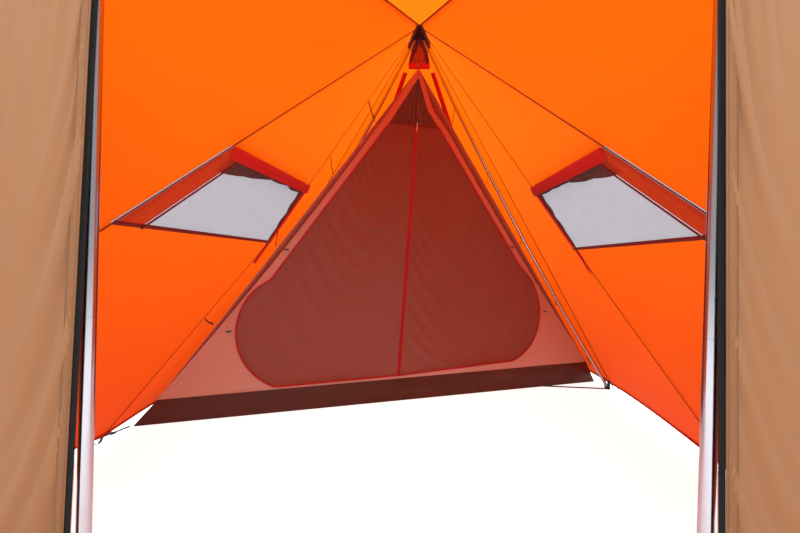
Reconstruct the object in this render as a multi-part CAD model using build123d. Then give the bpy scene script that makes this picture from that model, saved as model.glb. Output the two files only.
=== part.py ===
from build123d import *
import os

# Two-room pyramid tent: an orange outer tent (fly) over an A-frame, a tan front wall with two
# uprights, and an inner tent with a tub floor whose front wall runs diagonally.
# Millimetres. +Z up, +Y to the back, origin on the ground halfway between the A-frame's feet.

os.makedirs("parts", exist_ok=True)

SIDES = {"left": -1, "right": 1}

# ---- Driving dimensions ----
APEX_HEIGHT = 2290          # peak of the fly
HEM_HEIGHT = 40             # gap under the fly's hem
FRONT_Y = -1920             # plane of the front wall
REAR_Y = 1750               # rear hem
CLOTH = 1.2                 # closed solid that stands for a sheet of cloth
TUB_CLOTH = 1.6
FILM = 1.0
CORNER = Vector(740, FRONT_Y, 1815)        # where roof, side and front wall meet
SHOULDER = {-1: Vector(-1000, FRONT_Y, 554), 1: Vector(1000, FRONT_Y, 620)}   # front seam's foot
FRONT_GROUND = Vector(1170, FRONT_Y, HEM_HEIGHT)
SIDE_HEM = Vector(1265, 0, HEM_HEIGHT)     # over the A-frame's foot
REAR_HEM = Vector(1080, REAR_Y, HEM_HEIGHT)
APEX = Vector(0, 0, APEX_HEIGHT)
INSIDE = Vector(0, -100, 900)              # a point inside both tents

WINDOW_TOP = 1170           # height of the window's upper edge
WINDOW_BOTTOM = 847
# The seam behind the window runs from the peak to a bend at the window's lower corner, and on
# to the hem. The tent is pitched a little unevenly, so its two sides differ.
BEND = {-1: Vector(-742, -588, WINDOW_BOTTOM), 1: Vector(804, -653, WINDOW_BOTTOM)}
MID_HEM = {-1: Vector(-1186, -1135, HEM_HEIGHT), 1: Vector(1185, -1240, HEM_HEIGHT)}
PATCH_DROP = 11             # the peak's reinforcing patch, under the fly
PATCH_REACH = 150
PATCH_BACK_REACH = 250

WINDOW_TOP_BAND = 42        # width of the frame bands
WINDOW_SIDE_BAND = 22
WINDOW_BOTTOM_BAND = 14
COVER_RADIUS = 16           # the rolled-up storm cover
SEWN_GAP = 0.3              # between sheets that are sewn together

JAMB_FOOT = 672             # half width of the entrance at the ground
JAMB_TOP = 618
HEADER_DEPTH = 80
ROLL_RADIUS = 48            # the front door, rolled up under the header
ROLL_HALF = 600
TIE_SPACING = 430
TIE_THICKNESS = 2

UPRIGHT_X = 645
UPRIGHT_Y = -1895
UPRIGHT_RADIUS = 15
UPRIGHT_BORE = 13.5
UPRIGHT_SPIGOT_RADIUS = 13.2
UPRIGHT_JOINT = 620         # height of the joint between its two sections
UPRIGHT_TOP = 1790
PLUG_DEPTH = 25             # plug, collar and spike at the top of each upright
COLLAR_HEIGHT = 4
SPIKE_LENGTH = 20
SPIKE_RADIUS = 4.5
FOOT_THICKNESS = 8
FOOT_RADIUS = 17

LEG_FOOT_X = 1246
LEG_TOP = Vector(14, 0, 2225)
LEG_RADIUS = 9.5
LEG_BORE = 8.5
LEG_SPIGOT_RADIUS = 7       # loose enough for the bend at each joint
LEG_BOW = 38                # the legs bow inwards under load
LEG_SECTIONS = 5
SPIGOT_LENGTH = 60
HUB_SOCKET_DEPTH = 34
HUB_SOCKET_RADIUS = 12
HUB_BLOCK_HEIGHT = 14
HUB_BUTTON_HEIGHT = 16
END_GAP = 0.4

STRAP_THICKNESS = 1.5
STRAP_WIDTH = 25
TAPE_THICKNESS = 1.2        # the lighter webbing of tabs and ties
TAB_WIDTH = 18
ARM_SPREAD = 42             # half the spread of the two webbing arms over each leg's foot

FLOOR_Z = 2                 # underside of the tub floor, above the ground strap
INNER_APEX = Vector(5, -87, 1978)
TUB_FRONT_LEFT = Vector(-1190, -960, 0)
TUB_KINK = Vector(-905, -938, 0)
TUB_FRONT_RIGHT = Vector(1225, 155, 0)
TUB_REAR = Vector(1030, 1600, 0)
TUB_TOP_LEFT = Vector(-1115, -912, 105)
TUB_TOP_RIGHT = Vector(1165, 150, 130)
TUB_TOP_REAR = Vector(990, 1545, 115)

# Outline of the inner's front wall, in its own plane: across from the middle of the tub's
# top edge, and up the slope.
WALL_HALF = 1257
WALL_PEAK = (124, 1876)
WALL_LEFT_BULGE = (-648, 770)
WALL_RIGHT_BULGE = (728, 790)
WALL_RIGHT_NECK = [(298, 1492), (206, 1610)]   # the wall narrows here to a hood over the vent
DOOR_TOP_LEFT = (-85, 1493)
DOOR_TOP_RIGHT = (244, 1500)
DOOR_HINGE_LEFT = (-765, 548)
DOOR_HINGE_RIGHT = (780, 635)
DOOR_LEFT_BULGE = (-925, 250)
DOOR_RIGHT_BULGE = (905, 330)
DOOR_FOOT_LEFT = (-743, 16)
DOOR_FOOT_RIGHT = (670, 48)
ZIP_TOP = (92, 1500)
ZIP_FOOT = (-85, 20)
VENT_PEAK = (118.8, 1815)
VENT_KNEE = (172, 1608)
SILL_MIDDLE = (-40, 0)      # the strip of wall under the door
SILL_LENGTH = 1380
SILL_HEIGHT = 55
DOOR_GAP = 2
ZIP_GAP = 1.2


# ---- Helpers ----
def at_side(point, side):
    return Vector(side * point.X, point.Y, point.Z)


def between(start, end, share):
    return start + (end - start) * share


def at_height(start, end, height):
    return between(start, end, (height - start.Z) / (end.Z - start.Z))


def outward(points):
    normal = (points[1] - points[0]).cross(points[2] - points[0]).normalized()
    return normal if (INSIDE - points[0]).dot(normal) < 0 else normal * -1


def panel(points, thickness, way=1):
    """A flat closed sheet through the points. Its thickness grows outwards, or inwards if way
    is -1, as it is where the tent is hollow along the seams."""
    face = make_face(Polyline(*points, close=True))
    return extrude(face, thickness, dir=outward(points) * way)


def folded_panel(corners, facets, shift):
    """One closed sheet of flat triangles, given as corner numbers, thickened by shift."""
    faces = []
    edges = [(facet[i], facet[(i + 1) % 3]) for facet in facets for i in range(3)]
    for facet in facets:
        front = [corners[i] for i in facet]
        faces.append(Face(Wire.make_polygon(front)))
        faces.append(Face(Wire.make_polygon([corner + shift for corner in front])))
    for start, end in edges:
        if (end, start) not in edges:
            rim = [corners[start], corners[end], corners[end] + shift, corners[start] + shift]
            faces.append(Face(Wire.make_polygon(rim)))
    return Solid(Shell(faces))


def rod(start, end, radius):
    path = end - start
    return extrude(Plane(origin=start, z_dir=path) * Circle(radius), path.length)


def tube(start, end, radius, bore):
    return rod(start, end, radius) - rod(start, end, bore)


def strap(start, end, width, thickness, across):
    """A flat strap from start to end. Its width lies along across, as far as it can."""
    path = end - start
    plane = Plane(origin=start, x_dir=across - path * (across.dot(path) / path.dot(path)), z_dir=path)
    return extrude(plane * Rectangle(width, thickness), path.length)


def ring(centre, radius, wire):
    return Pos(centre.X, centre.Y, centre.Z) * Torus(radius, wire)


def save(name, *solids):
    pieces = [solid for piece in solids for solid in piece.solids()]
    shape = pieces[0] if len(pieces) == 1 else Compound(children=pieces)
    export_step(shape, f"parts/{name}.step")


# ---- Fly ----
def fly_points(side):
    """The fly's corners on one side, and where the window's edges cross its seams."""
    return {
        "corner": at_side(CORNER, side),
        "shoulder": SHOULDER[side],
        "front_ground": at_side(FRONT_GROUND, side),
        "bend": BEND[side],
        "mid_hem": MID_HEM[side],
        "side_hem": at_side(SIDE_HEM, side),
        "rear_hem": at_side(REAR_HEM, side),
        "front_top": at_height(APEX, SHOULDER[side], WINDOW_TOP),
        "front_bottom": at_height(APEX, SHOULDER[side], WINDOW_BOTTOM),
        "back_top": at_height(APEX, BEND[side], WINDOW_TOP),
    }


def on_mid_seam(side, height):
    if height > WINDOW_BOTTOM:
        return at_height(APEX, BEND[side], height)
    return at_height(BEND[side], MID_HEM[side], height)


def fly_side_panels(name, side):
    p = fly_points(side)
    save(f"fly_roof_{name}", panel([APEX, p["corner"], p["shoulder"]], CLOTH))
    save(f"fly_upper_{name}", panel([APEX, p["front_top"], p["back_top"]], CLOTH, -1))
    corners = [APEX, p["bend"], p["side_hem"], p["mid_hem"]]
    shift = outward(corners[:3]) * CLOTH
    save(f"fly_side_{name}", folded_panel(corners, [(0, 1, 2), (1, 3, 2)], shift))
    save(f"fly_rear_side_{name}", panel([APEX, p["side_hem"], p["rear_hem"]], CLOTH))


def fly_lower_panel(name, side):
    """From the window's lower edge to the hem, with folds from the window to the hem."""
    p = fly_points(side)
    corners = [p["front_bottom"], p["shoulder"], p["mid_hem"], p["bend"], p["front_ground"]]
    facets = [(0, 1, 2), (0, 2, 3), (1, 4, 2)]
    normal = outward(window_corners(side))
    inwards = Vector(-normal.X, 0, -normal.Z) * CLOTH
    save(f"fly_lower_{name}", folded_panel(corners, facets, inwards))


def window_corners(side):
    p = fly_points(side)
    return [p["front_bottom"], p["front_top"], p["back_top"], p["bend"]]


def window_film(name, side):
    save(f"window_film_{name}", panel(window_corners(side), FILM, -1))


def window_frame(name, side):
    """Four sewn bands round the window, on the film's inner face."""
    corners = window_corners(side)
    normal = outward(corners)
    plane = Plane(origin=corners[0], x_dir=corners[3] - corners[0], z_dir=normal)
    flat = [plane.to_local_coords(corner) for corner in corners]
    outline = make_face(Polyline(*[(c.X, c.Y) for c in flat], close=True))
    widths = [WINDOW_TOP_BAND, WINDOW_TOP_BAND, WINDOW_SIDE_BAND, WINDOW_BOTTOM_BAND]
    bands = []
    hole = outline
    for i, width in enumerate(widths):
        start = flat[i]
        end = flat[(i + 1) % 4]
        middle = (start + end) / 2
        turn = Rot(0, 0, band_angle(start, end))
        cover = Pos(middle.X, middle.Y) * turn * Rectangle(WALL_HALF * 2, 2 * width)
        bands.append(hole & cover)
        hole = hole - cover
    inner_face = -FILM - SEWN_GAP
    solids = [extrude(plane * Pos(0, 0, inner_face) * band, -FILM) for band in bands]
    save(f"window_frame_{name}", *solids)


def band_angle(start, end):
    return Vector(1, 0, 0).get_signed_angle(Vector(end.X - start.X, end.Y - start.Y, 0), Vector(0, 0, 1))


def window_cover(name, side):
    """The storm cover, rolled up outside along the window's upper edge."""
    p = fly_points(side)
    away = outward(window_corners(side)) * (COVER_RADIUS + CLOTH + 1)
    start = between(p["front_top"], p["back_top"], 0.04) + away
    end = between(p["front_top"], p["back_top"], 0.96) + away
    save(f"window_cover_{name}", rod(start, end, COVER_RADIUS))


def fly_middle_panels():
    left = fly_points(-1)
    right = fly_points(1)
    save("fly_roof_front", panel([APEX, left["corner"], right["corner"]], CLOTH))
    save("fly_back", panel([APEX, left["rear_hem"], right["rear_hem"]], CLOTH))


def apex_patch():
    """Reinforcing cloth inside the peak, longer at the back where the inner tent hooks on."""
    drop = Vector(0, 0, PATCH_DROP)
    peak = APEX - drop
    ends = []
    for side in (-1, 1):
        p = fly_points(side)
        ring_points = ["corner", "shoulder", "bend", "side_hem", "rear_hem"]
        ends.append([p[key] - drop for key in ring_points])
    around = ends[0][::-1] + ends[1]
    patches = []
    for start, end in zip(around, around[1:] + around[:1]):
        at_back = start.Y > 0 and end.Y > 0
        reach = PATCH_BACK_REACH if at_back else PATCH_REACH
        near = peak + (start - peak).normalized() * reach
        far = peak + (end - peak).normalized() * reach
        patches.append(panel([peak, near, far], FILM))
    save("apex_patch", *patches)


# ---- Front wall ----
def front_wall(name, side):
    outline = [
        Vector(side * JAMB_FOOT, FRONT_Y, HEM_HEIGHT),
        at_side(FRONT_GROUND, side),
        SHOULDER[side],
        at_side(CORNER, side),
        Vector(side * JAMB_TOP, FRONT_Y, CORNER.Z),
    ]
    save(f"front_wall_{name}", panel(outline, CLOTH))


def front_header():
    half = JAMB_TOP - 2
    low = CORNER.Z - HEADER_DEPTH
    outline = [Vector(-half, FRONT_Y, low), Vector(half, FRONT_Y, low),
               Vector(half, FRONT_Y, CORNER.Z), Vector(-half, FRONT_Y, CORNER.Z)]
    save("front_header", panel(outline, CLOTH))


ROLL_Y = FRONT_Y - CLOTH - 6 - ROLL_RADIUS
ROLL_Z = CORNER.Z - HEADER_DEPTH + 20


def front_door_roll():
    start = Vector(-ROLL_HALF, ROLL_Y, ROLL_Z)
    end = Vector(ROLL_HALF, ROLL_Y, ROLL_Z)
    save("front_door_roll", rod(start, end, ROLL_RADIUS))


def front_door_ties():
    """Three tie loops hold the roll to the header."""
    bore = ROLL_RADIUS + SEWN_GAP
    header_face = FRONT_Y - CLOTH - SEWN_GAP
    tongue_end = ROLL_Y + bore + TIE_THICKNESS / 2
    ties = []
    for x in (-TIE_SPACING, 0, TIE_SPACING):
        start = Vector(x - STRAP_WIDTH / 2, ROLL_Y, ROLL_Z)
        loop = tube(start, start + Vector(STRAP_WIDTH, 0, 0), bore + TIE_THICKNESS, bore)
        tongue = Pos(x, (header_face + tongue_end) / 2, ROLL_Z)
        ties.append(loop + tongue * Box(STRAP_WIDTH, header_face - tongue_end, TIE_THICKNESS))
    save("front_door_ties", *ties)


def jamb_x(height):
    share = (height - HEM_HEIGHT) / (CORNER.Z - HEM_HEIGHT)
    return JAMB_FOOT + (JAMB_TOP - JAMB_FOOT) * share


def tape_edge(height):
    return jamb_x(height) - 2 * SEWN_GAP


TAPE_WIDTH = 14
TAPE_LOW = 60
TAPE_HIGH = 1600
SLIDER_HEIGHT = 1560        # the sliders are parked near the tapes' upper ends
SLIDER_HALF = 3             # from the tape's free edge to the slider's middle
PULL_LENGTH = 44


def zip_tape(side, grow=0.0):
    """The zip's tape on one jamb, from the wall's edge towards the entrance."""
    low = Vector(side * (tape_edge(TAPE_LOW) + grow), FRONT_Y + grow, TAPE_LOW)
    high = Vector(side * (tape_edge(TAPE_HIGH) + grow), FRONT_Y + grow, TAPE_HIGH)
    inward = Vector(-side * (TAPE_WIDTH + 2 * grow), 0, 0)
    face = make_face(Polyline(low, high, high + inward, low + inward, close=True))
    return extrude(face, CLOTH + 2 * grow, dir=Vector(0, -1, 0))


def front_zip_tapes():
    save("front_zip_tapes", *[zip_tape(side) for side in SIDES.values()])


def front_zip_slider(name, side):
    """A slider that clips round the tape's free edge, with its pull tab outside."""
    x = side * (tape_edge(SLIDER_HEIGHT) - TAPE_WIDTH + SLIDER_HALF)
    y = FRONT_Y - CLOTH / 2
    body = Pos(x, y, SLIDER_HEIGHT) * Box(12, 7, 20)
    pull = Pos(x, y - 4.5, SLIDER_HEIGHT - PULL_LENGTH / 2) * Box(7, 2, PULL_LENGTH)
    save(f"front_slider_{name}", body - zip_tape(side, 0.5) + pull)


# ---- Poles ----
def uprights(name, side):
    """Each upright is two aluminium tubes that meet over a spigot."""
    foot = Vector(side * UPRIGHT_X, UPRIGHT_Y, FOOT_THICKNESS + END_GAP)
    low_end = Vector(foot.X, foot.Y, UPRIGHT_JOINT - END_GAP)
    high_start = Vector(foot.X, foot.Y, UPRIGHT_JOINT + END_GAP)
    top = Vector(foot.X, foot.Y, UPRIGHT_TOP)
    save(f"upright_lower_{name}", tube(foot, low_end, UPRIGHT_RADIUS, UPRIGHT_BORE))
    save(f"upright_upper_{name}", tube(high_start, top, UPRIGHT_RADIUS, UPRIGHT_BORE))


def upright_tips():
    """Plug and spike in the top of each upright. The spike goes through the corner tab."""
    tips = []
    for side in SIDES.values():
        base = Vector(side * UPRIGHT_X, UPRIGHT_Y, UPRIGHT_TOP)
        seat = base + Vector(0, 0, END_GAP)
        top = base + Vector(0, 0, COLLAR_HEIGHT)
        plug = rod(base - Vector(0, 0, PLUG_DEPTH), seat, UPRIGHT_BORE - 0.5)
        collar = rod(seat, top, UPRIGHT_RADIUS)
        spike = rod(top, top + Vector(0, 0, SPIKE_LENGTH), SPIKE_RADIUS)
        tips.append(plug + collar + spike)
    save("upright_tips", *tips)


def leg_point(side, share):
    """A point on a leg's axis, from the hub (0) to the foot (1). The leg bows inwards."""
    foot = Vector(LEG_FOOT_X, 0, FOOT_THICKNESS)
    straight = between(LEG_TOP, foot, share)
    bow = LEG_BOW * 4 * share * (1 - share)
    return at_side(straight - Vector(bow, 0, 0), side)


def leg_sections(name, side):
    sections = []
    for i in range(LEG_SECTIONS):
        start = leg_point(side, i / LEG_SECTIONS)
        end = leg_point(side, (i + 1) / LEG_SECTIONS)
        along = (end - start).normalized() * END_GAP
        sections.append(tube(start + along, end - along, LEG_RADIUS, LEG_BORE))
    ground = Pos(side * LEG_FOOT_X, 0, FOOT_THICKNESS + END_GAP - 50) * Box(100, 100, 100)
    sections[-1] = sections[-1] - ground
    save(f"leg_{name}", *sections)


def pole_spigots():
    spigots = []
    for side in SIDES.values():
        for i in range(1, LEG_SECTIONS):
            joint = leg_point(side, i / LEG_SECTIONS)
            along = leg_point(side, (i + 1) / LEG_SECTIONS) - leg_point(side, (i - 1) / LEG_SECTIONS)
            half = along.normalized() * (SPIGOT_LENGTH / 2)
            spigots.append(rod(joint - half, joint + half, LEG_SPIGOT_RADIUS))
        joint = Vector(side * UPRIGHT_X, UPRIGHT_Y, UPRIGHT_JOINT)
        half = Vector(0, 0, SPIGOT_LENGTH)
        spigots.append(rod(joint - half, joint + half, UPRIGHT_SPIGOT_RADIUS))
    save("pole_spigots", *spigots)


def pole_feet():
    """Rubber feet under the two uprights and the two legs."""
    feet = []
    for x, y in ((UPRIGHT_X, UPRIGHT_Y), (LEG_FOOT_X, 0)):
        for side in SIDES.values():
            base = Vector(side * x, y, 0)
            feet.append(rod(base, base + Vector(0, 0, FOOT_THICKNESS), FOOT_RADIUS))
    save("pole_feet", *feet)


def apex_hub():
    """The fitting that joins the two legs: two sockets, a block and a round top."""
    block_top = LEG_TOP.Z + 21
    block = Pos(0, 0, block_top - HUB_BLOCK_HEIGHT / 2) * Box(32, 26, HUB_BLOCK_HEIGHT)
    button = rod(Vector(0, 0, block_top - 1), Vector(0, 0, block_top + HUB_BUTTON_HEIGHT), 8)
    hub = block + button
    starts = [leg_point(side, 0) for side in SIDES.values()]
    ends = [leg_point(side, 1 / LEG_SECTIONS) for side in SIDES.values()]
    ways = [(end - start).normalized() for start, end in zip(starts, ends)]
    for start, along in zip(starts, ways):
        hub = hub + rod(start - along * 14, start + along * HUB_SOCKET_DEPTH, HUB_SOCKET_RADIUS)
    for start, along in zip(starts, ways):
        mouth = start + along * (HUB_SOCKET_DEPTH + 10)
        hub = hub - rod(start - along * 0.5, mouth, LEG_RADIUS + 0.25)
    save("apex_hub", hub)


# ---- Straps, tabs and rings ----
def base_strap():
    """Webbing on the ground that stops the A-frame's feet from spreading."""
    reach = LEG_FOOT_X - FOOT_RADIUS - 1
    save("base_strap", Pos(0, 0, STRAP_THICKNESS / 2) * Box(2 * reach, STRAP_WIDTH, STRAP_THICKNESS))


def foot_webbing():
    """Two webbing arms at each leg's foot, from the foot up to the fly's hem."""
    arms = []
    for side in SIDES.values():
        for way in (-1, 1):
            start = Vector(side * LEG_FOOT_X, way * (FOOT_RADIUS + 2), FOOT_THICKNESS / 2)
            end = Vector(side * (SIDE_HEM.X - 30), way * ARM_SPREAD, HEM_HEIGHT + 20)
            arms.append(strap(start, end, TAB_WIDTH, STRAP_THICKNESS, Vector(1, 0, 0)))
    save("foot_webbing", *arms)


RING_RADIUS = 14
RING_WIRE = 1.8
RING_REACH = 34             # from the hem's corner to the ring's centre


def ring_centre(hem, away):
    return Vector(hem.X, hem.Y, RING_WIRE) + away * RING_REACH


def hem_points(side):
    """Each hem corner on one side that is pegged down, and the way its peg ring lies from it."""
    return [
        (at_side(FRONT_GROUND, side), Vector(side * 0.5, -0.87, 0)),
        (MID_HEM[side], Vector(side, 0, 0)),
        (at_side(SIDE_HEM, side), Vector(side, 0, 0)),
        (at_side(REAR_HEM, side), Vector(side * 0.5, 0.87, 0)),
    ]


def hem_tabs():
    """Webbing tabs from the hem's corners down to the peg rings, and the uprights' corner tabs."""
    tabs = []
    for side in SIDES.values():
        for hem, away in hem_points(side):
            start = hem + away * 1.5 - Vector(0, 0, 3)
            rim = ring_centre(hem, away) - away * (RING_RADIUS + RING_WIRE + END_GAP)
            across = away.cross(Vector(0, 0, 1))
            tabs.append(strap(start, rim + Vector(0, 0, 1), TAB_WIDTH, TAPE_THICKNESS, across))
        spike = Vector(side * UPRIGHT_X, UPRIGHT_Y, UPRIGHT_TOP + COLLAR_HEIGHT + 4)
        plate = Pos(spike.X - side * 9, spike.Y + 2, spike.Z) * Box(38, 44, 2)
        eyelet = rod(spike - Vector(0, 0, 5), spike + Vector(0, 0, 5), SPIKE_RADIUS + 1)
        tabs.append(plate - eyelet)
    save("webbing_tabs", *tabs)


def peg_rings():
    rings = []
    for side in SIDES.values():
        for hem, away in hem_points(side):
            rings.append(ring(ring_centre(hem, away), RING_RADIUS, RING_WIRE))
    save("peg_rings", *rings)


BUCKLE_SHARE = 0.42
CORNER_STRAP_START = Vector(-1196, -968, 8)
CORNER_STRAP_END = Vector(-1216, -1172, 22)
CORNER_STRAP_WIDTH = 15
BUCKLE_LENGTH = 24


def corner_strap():
    """Webbing from the tub's front corner to the fly's hem."""
    ends = [CORNER_STRAP_START, CORNER_STRAP_END]
    save("corner_strap", strap(*ends, CORNER_STRAP_WIDTH, TAPE_THICKNESS, Vector(1, 0, 0)))


def corner_buckle():
    """A ladder buckle that slides along the corner strap to tighten it."""
    path = CORNER_STRAP_END - CORNER_STRAP_START
    start = between(CORNER_STRAP_START, CORNER_STRAP_END, BUCKLE_SHARE)
    length = path.normalized() * BUCKLE_LENGTH
    slot_size = (CORNER_STRAP_WIDTH + 0.8, TAPE_THICKNESS + 0.8)
    frame = strap(start, start + length, CORNER_STRAP_WIDTH + 7, 6, Vector(1, 0, 0))
    slot = strap(start - length, start + length * 2, *slot_size, Vector(1, 0, 0))
    save("corner_buckle", frame - slot)


# ---- Inner tent ----
def tub_floor():
    ground = [TUB_FRONT_LEFT, TUB_KINK, TUB_FRONT_RIGHT, at_side(TUB_REAR, 1), at_side(TUB_REAR, -1)]
    lift = Vector(0, 0, FLOOR_Z)
    face = make_face(Polyline(*[point + lift for point in ground], close=True))
    save("tub_floor", extrude(face, TUB_CLOTH, dir=Vector(0, 0, 1)))


def tub_walls():
    """The floor's turned-up sides, each a folded sheet that starts on the floor."""
    lift = Vector(0, 0, FLOOR_Z + TUB_CLOTH)
    left = TUB_FRONT_LEFT + lift
    kink = TUB_KINK + lift
    right = TUB_FRONT_RIGHT + lift
    rear_left = at_side(TUB_REAR, -1) + lift
    rear_right = at_side(TUB_REAR, 1) + lift
    top_rear_left = at_side(TUB_TOP_REAR, -1)
    top_rear_right = at_side(TUB_TOP_REAR, 1)
    front = folded_panel([left, kink, right, TUB_TOP_RIGHT, TUB_TOP_LEFT],
                         [(0, 1, 4), (1, 3, 4), (1, 2, 3)], Vector(0, -TUB_CLOTH, 0))
    near = folded_panel([rear_left, left, TUB_TOP_LEFT, top_rear_left],
                        [(0, 1, 2), (0, 2, 3)], Vector(-TUB_CLOTH, 0, 0))
    far = folded_panel([right, rear_right, top_rear_right, TUB_TOP_RIGHT],
                       [(0, 1, 2), (0, 2, 3)], Vector(TUB_CLOTH, 0, 0))
    back = folded_panel([rear_right, rear_left, top_rear_left, top_rear_right],
                        [(0, 1, 2), (0, 2, 3)], Vector(0, TUB_CLOTH, 0))
    save("tub_walls", front, near, far, back)


def inner_walls():
    top_rear_left = at_side(TUB_TOP_REAR, -1)
    top_rear_right = at_side(TUB_TOP_REAR, 1)
    save("inner_wall_left", panel([TUB_TOP_LEFT, top_rear_left, INNER_APEX], CLOTH))
    save("inner_wall_right", panel([TUB_TOP_RIGHT, top_rear_right, INNER_APEX], CLOTH))
    save("inner_wall_back", panel([top_rear_right, top_rear_left, INNER_APEX], CLOTH))


def front_plane():
    """The plane of the inner's front wall. X runs along the tub's top edge and Z outwards."""
    points = [TUB_TOP_LEFT, TUB_TOP_RIGHT, INNER_APEX]
    middle = (TUB_TOP_LEFT + TUB_TOP_RIGHT) / 2
    return Plane(origin=middle, x_dir=TUB_TOP_RIGHT - TUB_TOP_LEFT, z_dir=outward(points))


WALL_PLANE = front_plane()


def on_wall(face, thickness=CLOTH):
    return extrude(WALL_PLANE * face, thickness)


def wall_outline():
    edges = [
        Line((-WALL_HALF, 0), (WALL_HALF, 0)),
        ThreePointArc((WALL_HALF, 0), WALL_RIGHT_BULGE, WALL_RIGHT_NECK[0]),
        Polyline(*WALL_RIGHT_NECK, WALL_PEAK),
        ThreePointArc(WALL_PEAK, WALL_LEFT_BULGE, (-WALL_HALF, 0)),
    ]
    return make_face(edges)


def door_outline():
    """Both door halves together: slanting sides and large round lower corners."""
    edges = [
        Line(DOOR_TOP_LEFT, DOOR_HINGE_LEFT),
        ThreePointArc(DOOR_HINGE_LEFT, DOOR_LEFT_BULGE, DOOR_FOOT_LEFT),
        Line(DOOR_FOOT_LEFT, ZIP_FOOT),
        Line(ZIP_FOOT, DOOR_FOOT_RIGHT),
        ThreePointArc(DOOR_FOOT_RIGHT, DOOR_RIGHT_BULGE, DOOR_HINGE_RIGHT),
        Line(DOOR_HINGE_RIGHT, DOOR_TOP_RIGHT),
        Line(DOOR_TOP_RIGHT, DOOR_TOP_LEFT),
    ]
    return make_face(edges)


def vent_outline():
    return make_face(Polyline(DOOR_TOP_LEFT, DOOR_TOP_RIGHT, VENT_KNEE, VENT_PEAK, close=True))


def half_plane(side, gap):
    """Everything on one side of the door's centre zip and of the line on up to the peak."""
    shift = side * gap
    reach = side * 2 * WALL_HALF
    foot = (ZIP_FOOT[0] + shift, ZIP_FOOT[1])
    low = (ZIP_FOOT[0] + shift, ZIP_FOOT[1] - 200)
    top = (ZIP_TOP[0] + shift, ZIP_TOP[1])
    peak = (WALL_PEAK[0] + shift, WALL_PEAK[1])
    high = (WALL_PEAK[0] + shift, WALL_PEAK[1] + 200)
    return make_face(Polyline(low, foot, top, peak, high, (reach, high[1]), (reach, low[1]), close=True))


def inner_front_wall():
    """The border round the door in two halves and a sill, and the mesh vent above the door."""
    opening = offset(door_outline(), DOOR_GAP, kind=Kind.INTERSECTION)
    vent = vent_outline()
    border = wall_outline() - opening - offset(vent, 0.5, kind=Kind.INTERSECTION)
    sill_zone = Pos(*SILL_MIDDLE) * Rectangle(SILL_LENGTH, 2 * SILL_HEIGHT)
    for name, side in SIDES.items():
        save(f"inner_border_{name}", on_wall((border - sill_zone) & half_plane(side, 0.3)))
    sill = border & (Pos(*SILL_MIDDLE) * Rectangle(SILL_LENGTH - 1, 2 * SILL_HEIGHT - 1))
    save("inner_sill", on_wall(sill))
    save("inner_vent_mesh", on_wall(vent - opening))


def inner_doors():
    for name, side in SIDES.items():
        save(f"inner_door_{name}", on_wall(door_outline() & half_plane(side, ZIP_GAP)))


def zip_frame():
    """At the top of the inner zip: X across it, Y up along it and Z outwards."""
    along = Vector(*ZIP_TOP) - Vector(*ZIP_FOOT)
    turn = Vector(0, 1, 0).get_signed_angle(along, Vector(0, 0, 1))
    return WALL_PLANE * Location((ZIP_TOP[0], ZIP_TOP[1], 0), (0, 0, turn))


PIN_REACH = 14              # the slider's pin, above the zip's upper end and off the wall
PIN_HEIGHT = CLOTH + 6.2


def inner_zip_slider():
    """The slider of the centre zip, parked above the door halves' top edge."""
    body = Pos(0, PIN_REACH, CLOTH + 2.2) * Box(11, 20, 3)
    ears = [Pos(x, PIN_REACH, PIN_HEIGHT - 0.7) * Box(1.6, 4, 4.6) for x in (-4.6, 4.6)]
    pin = Pos(0, PIN_REACH, PIN_HEIGHT) * Rotation(0, 90, 0) * Cylinder(0.9, 9)
    save("inner_zip_slider", zip_frame() * (body + ears[0] + ears[1] + pin))


def inner_zip_pull():
    """The pull, on the slider's pin, hanging down along the zip."""
    eye = Pos(0, PIN_REACH, PIN_HEIGHT) * Rotation(0, 90, 0) * Cylinder(2.1, 5)
    tab = Pos(0, PIN_REACH - 30, PIN_HEIGHT) * Box(5, 58, 1.8)
    bore = Pos(0, PIN_REACH, PIN_HEIGHT) * Rotation(0, 90, 0) * Cylinder(1.2, 12)
    save("inner_zip_pull", zip_frame() * (eye + tab - bore))


# Elastic tabs that hang the inner tent: height on the fly's seam or the pole, then the point
# across and up the inner's front wall that it holds.
LEFT_HANGERS = [(1715, (-165, 1478)), (1350, (-420, 1137)), (906, (-727, 721)), (475, (-1013, 333))]
RIGHT_HANGERS = [(1750, (331, 1541)), (1336, (559, 1165)), (938, (789, 784)), (531, (1033, 387)),
                 (154, (1260, 30))]


HOOK_SHARE = 0.7            # where each elastic ends and its hook begins
HOOK_THICKNESS = 3
PEAK_HOOK_SPACING = 32


def hanger_ends():
    ends = []
    for height, (across, up) in LEFT_HANGERS:
        start = on_mid_seam(-1, height) + Vector(12, 0, -6)
        ends.append((start, WALL_PLANE.from_local_coords(Vector(across - 14, up, CLOTH / 2))))
    for height, (across, up) in RIGHT_HANGERS:
        share = (LEG_TOP.Z - height) / (LEG_TOP.Z - FOOT_THICKNESS)
        start = leg_point(1, share) + Vector(-LEG_RADIUS - 5, 4, 0)
        ends.append((start, WALL_PLANE.from_local_coords(Vector(across + 8, up, CLOTH / 2))))
    return ends


def inner_hangers():
    """Short elastic tabs from the fly's side seam and from the right leg."""
    tabs = []
    for start, end in hanger_ends():
        hook_start = between(start, end, HOOK_SHARE)
        tabs.append(strap(start, hook_start, 8, TAPE_THICKNESS, Vector(0, 0, 1)))
    save("inner_hangers", *tabs)


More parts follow.
